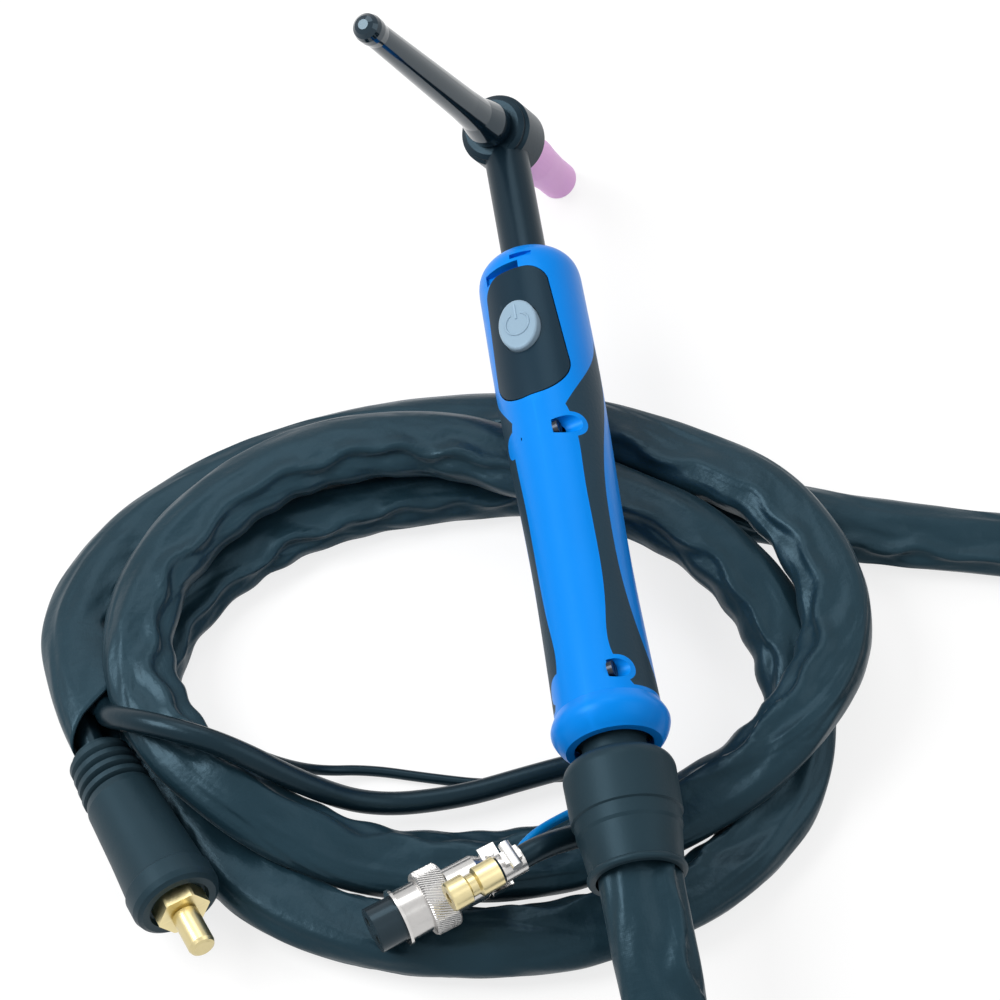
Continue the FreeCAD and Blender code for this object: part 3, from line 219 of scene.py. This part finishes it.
def sleeve_skin(s, angle, curl):
    """How far the cloth stands out from the plain oval at one place, in metres."""
    quick = 0.11 * math.sin(s * 262 + 3.2 * ripple(s * 13, 5, 1))
    wave = quick + 0.09 * math.sin(s * 137 + 2 * ripple(s * 9, 2, 4))
    upper = math.radians(122 + 34 * ripple(s * 3.1, 0.3, 0)) + wave
    lower = math.radians(-52 + 30 * ripple(s * 2.3, 7.7, 3)) + wave * 0.7
    across = math.radians(66 + 40 * ripple(s * 2.7, 3.1, 8))
    strength = 0.75 + 0.55 * ripple(s * 8, 1.7, 6)
    out = 0.0019 * strength * (bell(angle - upper, 0.15) + 0.9 * bell(angle - lower, 0.18))
    out -= 0.0017 * strength * (bell(angle - upper - 0.42, 0.26) + 0.6 * bell(angle - upper + 0.46, 0.24))
    out -= 0.0011 * bell(angle - lower - 0.42, 0.28)
    out += 0.0011 * (0.5 + ripple(s * 6, 9, 2)) * bell(angle - across, 0.1)
    inside = bell(angle - math.pi, 0.62)
    pucker = math.sin(s * 330 + 4 * ripple(s * 16, 3, 9) + 1.1 * angle)
    out += inside * min(1, curl / 9) * (0.00055 * pucker - 0.0005 * max(0, ripple(s * 70, 6, 1)))
    out += 0.0009 * ripple(1.4 * math.cos(angle), 1.4 * math.sin(angle), s * 26)
    out += 0.00035 * ripple(3 * math.cos(angle), 3 * math.sin(angle), s * 75)
    return out


def cloth_tube(name, line, around=44):
    """The sleeve's mesh along its own line, with a hollow end and texture places in metres."""
    count = len(line)
    headings = [(line[min(k + 1, count - 1)] - line[max(k - 1, 0)]).normalized() for k in range(count)]
    runs = [0.0]
    for before, here in zip(line, line[1:]):
        runs.append(runs[-1] + (here - before).length)
    total = runs[-1]
    bends = []
    for k in range(count):
        low, high = max(k - 6, 0), min(k + 6, count - 1)
        bends.append(headings[low].cross(headings[high]).z / max(runs[high] - runs[low], 1e-6))
    corners, places = [], []

    def ring(k, inset, squeeze=1.0):
        heading, s = headings[k], runs[k]
        side = heading.cross(Vector((0, 0, 1))).normalized()
        lift = side.cross(heading)
        left = total - s
        mouth = max(0.0, 1 - left / 0.05)
        mouth = mouth * mouth * (3 - 2 * mouth)
        root = max(0.0, 1 - s / 0.05)
        hem = max(0.0, 1 - s / 0.13) ** 0.5 if s < 0.13 else 0.0
        wide = SLEEVE_WIDE + 0.0024 * mouth + 0.0016 * hem
        thick = SLEEVE_THICK + 0.0014 * mouth + 0.0022 * root
        calm = 1 - 0.75 * mouth
        for j in range(around):
            angle = 2 * math.pi * j / around
            c, n = math.cos(angle), math.sin(angle)
            across = wide * math.copysign(abs(c) ** 0.87, c)
            up = thick * math.copysign(abs(n) ** 0.87, n)
            reach = math.hypot(across, up)
            stand = sleeve_skin(s, angle, bends[k]) * calm - inset
            across *= squeeze * (1 + stand / reach)
            up *= squeeze * (1 + stand / reach)
            shift = mouth * (0.5 * across - 0.45 * up)
            corner = line[k] + side * across + lift * (up + 0.0008 * mouth) + heading * shift
            corner.z = max(corner.z, 0.0002 if inset == 0 else 0.0009)
            corners.append(corner)
            places.append((j / around, s))

    for k in range(count):
        ring(k, 0)
    inner = [k for k in range(count - 1, 0, -1) if total - runs[k] < 0.075]
    for k in inner:
        ring(k, 0.0007)
    rings = count + len(inner)
    faces = []
    for r in range(rings - 1):
        for j in range(around):
            n = (j + 1) % around
            faces.append((r * around + j, r * around + n, (r + 1) * around + n, (r + 1) * around + j))
    faces.append(tuple(range(around))[::-1])
    faces.append(tuple((rings - 1) * around + j for j in range(around)))
    piece = mesh_piece(name, corners, faces)
    layer = piece.data.uv_layers.new(name="cloth")
    for face in piece.data.polygons:
        columns = [piece.data.loops[loop].vertex_index % around for loop in face.loop_indices]
        wraps = max(columns) - min(columns) > around / 2
        for loop, column in zip(face.loop_indices, columns):
            turn, s = places[piece.data.loops[loop].vertex_index]
            if wraps and column == 0:
                turn += 1.0
            layer.data[loop].uv = (turn * 0.06, s)
    return piece, total


def group(name, inputs, outputs):
    """A shader group with named inputs and outputs; returns its tree and the two ends."""
    tree = bpy.data.node_groups.new(name, "ShaderNodeTree")
    kinds = {"f": "NodeSocketFloat", "c": "NodeSocketColor", "v": "NodeSocketVector"}
    for label, kind, start in inputs:
        socket = tree.interface.new_socket(label, in_out="INPUT", socket_type=kinds[kind])
        socket.default_value = start
    for label, kind in outputs:
        tree.interface.new_socket(label, in_out="OUTPUT", socket_type=kinds[kind])
    return tree, tree.nodes.new("NodeGroupInput").outputs, tree.nodes.new("NodeGroupOutput").inputs


def use(tree, effect, **inputs):
    """Places a shader group in a material with its own values."""
    step = tree.nodes.new("ShaderNodeGroup")
    step.node_tree = effect
    for label, given in inputs.items():
        socket = step.inputs[label.replace("_", " ")]
        if isinstance(given, bpy.types.NodeSocket):
            tree.links.new(given, socket)
        else:
            socket.default_value = given
    return step.outputs


# tone: a slow drift of lightness over the surface, as moulded and dyed things have
tone, have, give = group("tone", [("Colour", "c", (0.5, 0.5, 0.5, 1)), ("Scale", "f", 60),
                                  ("Drift", "f", 0.1)], [("Colour", "c"), ("Mask", "f")])
spot = put(tone, "TexCoord").outputs["Object"]
cloud = put(tone, "TexNoise", Vector=spot, Scale=have["Scale"], Detail=4.0, Roughness=0.55).outputs[0]
swing = calc(tone, "MULTIPLY", calc(tone, "SUBTRACT", cloud, 0.5), have["Drift"])
level = calc(tone, "ADD", 1.0, swing)
mixed = put(tone, "VectorMath", {"operation": "SCALE"}, n0=have["Colour"], n3=level).outputs[0]
tone.links.new(mixed, give["Colour"])
tone.links.new(cloud, give["Mask"])

# grain: the fine texture that a mould leaves on plastic and rubber
grain, have, give = group("grain", [("Scale", "f", 2500), ("Coarse", "f", 0.4)], [("Height", "f")])
spot = put(grain, "TexCoord").outputs["Object"]
fine = put(grain, "TexNoise", Vector=spot, Scale=have["Scale"], Detail=2.0, Roughness=0.6).outputs[0]
cells = put(grain, "TexVoronoi", {"feature": "SMOOTH_F1"}, Vector=spot, Scale=calc(
    grain, "MULTIPLY", have["Scale"], 0.55)).outputs[0]
grain.links.new(calc(grain, "ADD", fine, calc(grain, "MULTIPLY", cells, have["Coarse"])), give["Height"])

# threads: a plain weave under a thin coating, counted along and around the tube
threads, have, give = group("threads", [("Pitch", "f", 0.0008)], [("Height", "f"), ("Mask", "f")])
spread = put(threads, "SeparateXYZ", Vector=put(threads, "UVMap").outputs[0]).outputs
rate = calc(threads, "DIVIDE", math.pi, have["Pitch"])
warp = calc(threads, "ABSOLUTE", calc(threads, "SINE", calc(threads, "MULTIPLY", spread[0], rate)))
weft = calc(threads, "ABSOLUTE", calc(threads, "SINE", calc(threads, "MULTIPLY", spread[1], rate)))
woven = calc(threads, "MULTIPLY", warp, weft)
threads.links.new(woven, give["Height"])
threads.links.new(calc(threads, "POWER", woven, 0.5), give["Mask"])

# folds: long soft creases that run mostly lengthwise and slant a little across the tube
folds, have, give = group("folds", [("Across", "f", 75), ("Along", "f", 15)], [("Height", "f")])
spread = put(folds, "SeparateXYZ", Vector=put(folds, "UVMap").outputs[0]).outputs
slanted = calc(folds, "MULTIPLY_ADD", spread[1], 0.12, spread[0])
laid = put(folds, "CombineXYZ", n0=calc(folds, "MULTIPLY", slanted, have["Across"]),
           n1=calc(folds, "MULTIPLY", spread[1], have["Along"])).outputs[0]
swell = put(folds, "TexNoise", Vector=laid, Scale=1.0, Detail=2.0, Roughness=0.45,
            Distortion=0.6).outputs[0]
folds.links.new(swell, give["Height"])

# painted edge highlight: the raised convex edges get a lighter colour painted on, in place of the light they
# catch
painted_edge_highlight, have, give = group("painted_edge_highlight", [("Start", "f", 0.53), ("Full", "f", 0.62)], [("Mask", "f")])
point = put(painted_edge_highlight, "NewGeometry").outputs["Pointiness"]
edge = put(painted_edge_highlight, "MapRange", n0=point, n1=have["Start"], n2=have["Full"], n3=0.0, n4=1.0).outputs[0]
painted_edge_highlight.links.new(edge, give["Mask"])


def material(name, colour, rough, metal=0.0, specular=0.25, tint=(0.5, 0.8, 1), drift=0.12, drift_scale=60,
             polish=0.0, edge_light=0.0):
    """A finish with a drifting colour, a roughness that varies with it and a painted highlight on its raised
    edges.
    """
    made = bpy.data.materials.new(name)
    made.use_nodes = True
    tree = made.node_tree
    shader = tree.nodes["Principled BSDF"]
    shader.inputs["Metallic"].default_value = metal
    shader.inputs["Specular IOR Level"].default_value = specular
    if not metal:
        shader.inputs["Specular Tint"].default_value = (*tint, 1)
    surface = use(tree, tone, Colour=(*colour, 1), Scale=drift_scale, Drift=drift)
    shown = surface["Colour"]
    # painted highlight: raised convex edges get a lighter base colour that stands in for the light they
    # catch
    if edge_light:
        edge_highlight_mask = use(tree, painted_edge_highlight)["Mask"]
        highlight_colour = tuple(min(1, part * (1 + edge_light) + 0.02 * edge_light) for part in colour)
        shown = put(tree, "Mix", {"data_type": "RGBA"}, n0=edge_highlight_mask, n6=shown, n7=(*highlight_colour, 1)).outputs[2]
    tree.links.new(shown, shader.inputs["Base Color"])
    roughness = calc(tree, "MULTIPLY_ADD", surface["Mask"], polish, rough - polish / 2)
    tree.links.new(roughness, shader.inputs["Roughness"])
    return made, tree, shader


def relief(tree, shader, *heights):
    """Feeds the shader's normal from heights, each a socket with its depth in metres."""
    total = None
    for socket, depth in heights:
        part = calc(tree, "MULTIPLY", socket, depth)
        total = part if total is None else calc(tree, "ADD", total, part)
    bump = put(tree, "Bump", Strength=1.0, Distance=1.0, Height=total)
    tree.links.new(bump.outputs[0], shader.inputs["Normal"])


cloth, tree, shader = material("coated_cloth", (0.008, 0.024, 0.035), 0.36, specular=0.32, drift=0.5,
                               drift_scale=30, polish=0.12)
shader.inputs["Sheen Weight"].default_value = 0.06
shader.inputs["Sheen Roughness"].default_value = 0.4
shader.inputs["Sheen Tint"].default_value = (0.6, 0.75, 0.85, 1)
weave = use(tree, threads, Pitch=0.0006)
creases = use(tree, grain, Scale=260, Coarse=0.8)
pleats = use(tree, folds, Across=75, Along=15)
relief(tree, shader, (weave["Height"], 0.000008), (creases["Height"], 0.0002), (pleats["Height"], 0.004))

sleeve, sleeve_length = cloth_tube("cable_sleeve", sleeve_line)
sleeve.data.materials.append(cloth)
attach(sleeve, "cable_set")
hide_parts("sleeve_lead", "sleeve_stored_coil", "sleeve_link", "sleeve_coil")


# The cords that leave the sleeve
# The power cable runs a few centimetres to its plug. The gas hose and the thin switch cable turn
# back over the coil; black rubber jackets on all three, and blue insulation on the switch lead.
jacket, tree, shader = material("cable_jacket", (0.004, 0.012, 0.018), 0.3, specular=0.3, drift=0.35,
                                drift_scale=45, polish=0.12)
relief(tree, shader, (use(tree, grain, Scale=900, Coarse=0.6)["Height"], 0.00005))
wire_skin, tree, shader = material("blue_lead", (0.0, 0.2, 0.56), 0.34, specular=0.25, drift=0.15,
                                   drift_scale=120, polish=0.08)
relief(tree, shader, (use(tree, grain, Scale=1500, Coarse=0.4)["Height"], 0.00002))


def round_cord(name, points, radius, skin, node):
    """A round cord as one smooth spline with its own thickness, in place of its CAD solid."""
    piece = cord_curve(name, [at(*point) for point in points], 12)
    piece.data.bevel_depth = radius / 1000
    piece.data.bevel_resolution = 7
    piece.data.use_fill_caps = True
    piece.data.materials.append(skin)
    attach(piece, "cable_set")
    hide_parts(node)
    return piece


POWER = [(-163.6, -38.5, 13.6), (-161.2, -50.5, 14.4), (-159.0, -62.5, 15.8), (-155.2, -73.4, 16.0),
         (-152.1, -81.8, 17.5), (-145.3, -100.3, 20.8)]
power = round_cord("power_cable", POWER, 5, jacket, "power_cable_tail")
HOSE = [(-152.5, -46, 18.5), (-151.5, -60, 21), (-148, -67.5, 32.5), (-133, -78, 43), (-111, -88, 41),
        (-89, -97, 25), (-67, -101.5, 10.4), (-38, -101.5, 8.4), (-12, -97, 8.3), (6, -95, 9.5),
        (22.5, -99.5, 12.9), (29, -113, 20.7), (22.5, -126.5, 27.5), (5, -131, 32.2), (-8, -136, 40.2),
        (-16.5, -139.7, 44), (-21.6, -141.8, 44), (-30.6, -145.7, 44)]
hose = round_cord("gas_hose", HOSE, 4, jacket, "gas_hose_tail")
SWITCH = [(-158.5, -50, 21), (-156.5, -58, 22.5), (-148.4, -64, 26), (-133.4, -73.4, 36.5),
          (-112, -83, 36), (-97, -86, 21.5), (-83, -84, 6.5), (-66, -84, 2.7), (-46, -90, 2.3),
          (-24, -96, 2.3), (-3, -95.5, 3.1), (8.3, -99, 4.7), (12.6, -107.7, 10)]
switch = round_cord("switch_line", SWITCH, 1.8, jacket, "switch_cable")
LEAD_END = [(12.6, -107.7, 10), (9.5, -112.6, 16.5), (-4, -119.5, 23), (-17, -128, 29.5),
            (-24.5, -135.2, 27.8), (-38.1, -140.4, 27.8)]
lead = round_cord("switch_lead", LEAD_END, 1.5, wire_skin, "switch_lead_end")


# Current plug
# A turned black rubber boot with four ribs at the cable, a plain barrel and a short ring, over a
# machined brass core: a hexagon and a stepped pin that twists into the power source.
def dress(made, *nodes):
    """Gives finished CAD pieces their material."""
    for name in nodes:
        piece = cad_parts[name]
        if not piece.data.materials:
            piece.data.materials.append(made)
        for place in piece.material_slots:
            place.material = made


moulded, tree, shader = material("moulded_rubber", (0.011, 0.025, 0.034), 0.46, specular=0.25, drift=0.3,
                                 drift_scale=70, polish=0.12, edge_light=0.35)
relief(tree, shader, (use(tree, grain, Scale=1700, Coarse=0.6)["Height"], 0.00003))
dress(moulded, "plug_boot", "knuckle_boot")

# turned: the fine rings that a lathe leaves, counted along the piece's own axis
turned, have, give = group("turned", [("Axis", "v", (0, 0, 1)), ("Pitch", "f", 0.0004)],
                           [("Height", "f"), ("Mask", "f")])
spot = put(turned, "TexCoord").outputs["Object"]
along = put(turned, "VectorMath", {"operation": "DOT_PRODUCT"}, n0=spot, n1=have["Axis"]).outputs["Value"]
rings = put(turned, "TexNoise", {"noise_dimensions": "1D"}, W=calc(turned, "DIVIDE", along, have["Pitch"]),
            Scale=1.0, Detail=3.0).outputs[0]
turned.links.new(rings, give["Height"])
turned.links.new(rings, give["Mask"])

PLUG_AXIS = (0.340463, -0.92535, 0.166769)
PAIR_AXIS = (0.93358, 0.358368, 0.0)
NUT_CENTRE = (-0.0509, -0.1459, 0.0278)
NIPPLE_AXIS = (0.920505, 0.390731, 0.0)
HEAD_AXIS = (-0.4128, -0.2588, 0.8733)


def turned_metal(name, colour, rough, axis, drift=0.18, pitch=0.00035, depth=0.000012):
    """Bare metal with lathe rings, a little tarnish in its colour and a painted highlight on its edges."""
    made, tree, shader = material(name, colour, rough, metal=1.0, drift=drift, drift_scale=220, polish=0.14,
                                  edge_light=0.25)
    relief(tree, shader, (use(tree, turned, Axis=axis, Pitch=pitch)["Height"], depth),
           (use(tree, grain, Scale=2600, Coarse=0.2)["Height"], 0.000006))
    return made


dress(turned_metal("plug_brass", (0.62, 0.53, 0.29), 0.3, PLUG_AXIS), "plug_core", "plug_pin")


# Gas nipple and hose clamp
# A small turned brass nipple pushed into the hose, and a nickel-plated band clamp whose worm screw
# stands beside it.
dress(turned_metal("nipple_brass", (0.66, 0.57, 0.32), 0.3, NIPPLE_AXIS), "gas_nipple")
dress(turned_metal("clamp_nickel", (0.52, 0.51, 0.5), 0.26, NIPPLE_AXIS, pitch=0.001), "hose_clamp")
dress(turned_metal("screw_steel", (0.6, 0.6, 0.6), 0.32, NIPPLE_AXIS), "clamp_screw", "saddle_screws")


# Switch connector
# A two-hole black insert in a nickel-plated sleeve, a knurled coupling ring that turns on it, a plain
# shell behind, and a saddle with two screws that grips the blue lead.
insert_skin, tree, shader = material("insert_plastic", (0.006, 0.011, 0.015), 0.2, specular=0.4, drift=0.2,
                                     drift_scale=200, polish=0.08, edge_light=0.4)
relief(tree, shader, (use(tree, grain, Scale=2400, Coarse=0.3)["Height"], 0.00001))
dress(insert_skin, "connector_insert", "microswitch", "switch_plunger", "knuckle_seat")
nickel = turned_metal("nickel_plate", (0.54, 0.53, 0.52), 0.22, PAIR_AXIS)
dress(nickel, "connector_sleeve", "connector_shell", "cable_saddle")
dress(turned_metal("contact_brass", (0.76, 0.6, 0.32), 0.3, PAIR_AXIS), "connector_sockets", "torch_fitting")

# knurled: slanting grooves rolled into the coupling ring, counted round its axis
knurled, have, give = group("knurled", [("Centre", "v", (0, 0, 0)), ("Axis", "v", (1, 0, 0)),
                                        ("Teeth", "f", 60), ("Slant", "f", 900)], [("Height", "f")])
spot = put(knurled, "TexCoord").outputs["Object"]
arm = put(knurled, "VectorMath", {"operation": "SUBTRACT"}, n0=spot, n1=have["Centre"]).outputs[0]
along = put(knurled, "VectorMath", {"operation": "DOT_PRODUCT"}, n0=arm, n1=have["Axis"]).outputs["Value"]
sideways = put(knurled, "VectorMath", {"operation": "CROSS_PRODUCT"}, n0=have["Axis"],
               n1=(0, 0, 1)).outputs[0]
flat = put(knurled, "VectorMath", {"operation": "DOT_PRODUCT"}, n0=arm, n1=sideways).outputs["Value"]
upward = put(knurled, "SeparateXYZ", Vector=arm).outputs[2]
around = calc(knurled, "ARCTAN2", upward, flat)
turn = calc(knurled, "MULTIPLY", around, calc(knurled, "DIVIDE", have["Teeth"], 2))
slope = calc(knurled, "MULTIPLY", along, have["Slant"])
grooves = calc(knurled, "ABSOLUTE", calc(knurled, "SINE", calc(knurled, "ADD", turn, slope)))
knurled.links.new(grooves, give["Height"])

ring_skin, tree, shader = material("knurled_nickel", (0.55, 0.54, 0.53), 0.28, metal=1.0, drift=0.2,
                                   drift_scale=250, polish=0.14, edge_light=0.25)
relief(tree, shader, (use(tree, knurled, Centre=NUT_CENTRE, Axis=PAIR_AXIS, Teeth=72,
                          Slant=1500)["Height"], 0.0003))
dress(ring_skin, "coupling_ring")


# Handle
# Two glossy blue mouldings closed by two dark screws in scoops, with soft dark grip inlays along both
# flanks.
blue, tree, shader = material("blue_moulding", (0.0, 0.215, 0.74), 0.34, specular=0.25, tint=(0.3, 0.7, 1),
                              drift=0.1, drift_scale=25, polish=0.1, edge_light=0.12)
relief(tree, shader, (use(tree, grain, Scale=1900, Coarse=0.3)["Height"], 0.000014))
dress(blue, "left_shell", "right_shell")
soft, tree, shader = material("soft_inlay", (0.012, 0.029, 0.045), 0.5, specular=0.25, drift=0.2,
                              drift_scale=60, polish=0.1, edge_light=0.2)
relief(tree, shader, (use(tree, grain, Scale=1500, Coarse=0.9)["Height"], 0.00006))
dress(soft, "left_inlay", "right_inlay")
dress(turned_metal("dark_screw", (0.03, 0.035, 0.045), 0.35, (-0.427, 0, 0.904)), "handle_screws")


# Switch cover and button
# A black satin cover over the microswitch, with a grey push button that carries a raised on-off mark.
satin, tree, shader = material("satin_black", (0.004, 0.015, 0.027), 0.36, specular=0.25, drift=0.2,
                               drift_scale=50, polish=0.1, edge_light=0.3)
relief(tree, shader, (use(tree, grain, Scale=2100, Coarse=0.4)["Height"], 0.00002))
dress(satin, "switch_cover")
grey, tree, shader = material("button_grey", (0.27, 0.38, 0.48), 0.36, specular=0.3, drift=0.08,
                              drift_scale=90, polish=0.1, edge_light=0.15)
relief(tree, shader, (use(tree, grain, Scale=2200, Coarse=0.4)["Height"], 0.000015))
dress(grey, "button")

TORCH = Matrix(((0.904083, 0, -0.427358, 0.011926), (0, 1, 0, 0.079836),
                (0.427358, 0, 0.904083, 0.053746), (0, 0, 0, 1)))


def raised_line(name, route, radius, body, skin, closed=False):
    """A thin raised bead in the torch's own frame, in metres."""
    curve = bpy.data.curves.new(name, "CURVE")
    curve.dimensions = "3D"
    run = curve.splines.new("POLY")
    run.points.add(len(route) - 1)
    for knot, point in zip(run.points, route):
        knot.co = (*(TORCH @ Vector(point)), 1)
    run.use_cyclic_u = closed
    curve.bevel_depth = radius
    curve.bevel_resolution = 4
    curve.use_fill_caps = True
    curve.materials.append(skin)
    piece = bpy.data.objects.new(name, curve)
    bpy.context.scene.collection.objects.link(piece)
    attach(piece, body)
    return piece


BUTTON_TOP = 0.0209
BUTTON_AT = -0.038
MARK_RADIUS = 0.00435
MARK_BEAD = 0.00038
mark_round = [(MARK_RADIUS * math.sin(math.radians(turn)),
               BUTTON_AT + MARK_RADIUS * math.cos(math.radians(turn)), BUTTON_TOP)
              for turn in range(30, 331, 6)]
mark_bar = [(0, -0.036, BUTTON_TOP), (0, -0.0302, BUTTON_TOP)]
raised_line("button_mark_round", mark_round, MARK_BEAD, "button", grey)
raised_line("button_mark_bar", mark_bar, MARK_BEAD, "button", grey)


# Head, back cap and cup
# A rubber-covered copper head with a long phenolic back cap, a white gasket and a pink alumina cup
# that holds the gas round the tungsten.
hide, tree, shader = material("head_rubber", (0.002, 0.009, 0.016), 0.32, specular=0.28, drift=0.25,
                              drift_scale=50, polish=0.1, edge_light=0.3)
relief(tree, shader, (use(tree, grain, Scale=1400, Coarse=0.5)["Height"], 0.000025))
dress(hide, "head_insulation", "back_cap_oring")
phenolic, tree, shader = material("cap_phenolic", (0.002, 0.008, 0.015), 0.12, specular=0.45, drift=0.2,
                                  drift_scale=40, polish=0.06, edge_light=0.3)
shader.inputs["Coat Weight"].default_value = 0.3
shader.inputs["Coat Roughness"].default_value = 0.08
relief(tree, shader, (use(tree, grain, Scale=700, Coarse=0.2)["Height"], 0.00001))
dress(phenolic, "back_cap")
alumina, tree, shader = material("pink_alumina", (0.8, 0.44, 0.78), 0.5, specular=0.3, tint=(1, 1, 1),
                                 drift=0.08, drift_scale=90, polish=0.12, edge_light=0.08)
shader.inputs["Subsurface Weight"].default_value = 0.12
shader.inputs["Subsurface Radius"].default_value = (0.002, 0.0012, 0.002)
relief(tree, shader, (use(tree, grain, Scale=1300, Coarse=0.8)["Height"], 0.00003))
dress(alumina, "nozzle")
white, tree, shader = material("gasket_white", (0.82, 0.83, 0.84), 0.45, tint=(1, 1, 1), drift=0.06,
                               drift_scale=120, polish=0.1)
relief(tree, shader, (use(tree, grain, Scale=1800, Coarse=0.4)["Height"], 0.00002))
dress(white, "cup_gasket")
dress(turned_metal("copper", (0.85, 0.48, 0.3), 0.3, HEAD_AXIS), "head_core", "neck_tube",
      "collet_body", "collet")
dress(turned_metal("tungsten", (0.5, 0.5, 0.52), 0.35, HEAD_AXIS), "electrode")
dress(jacket, "power_cable_front", "gas_hose_front", "switch_leads")
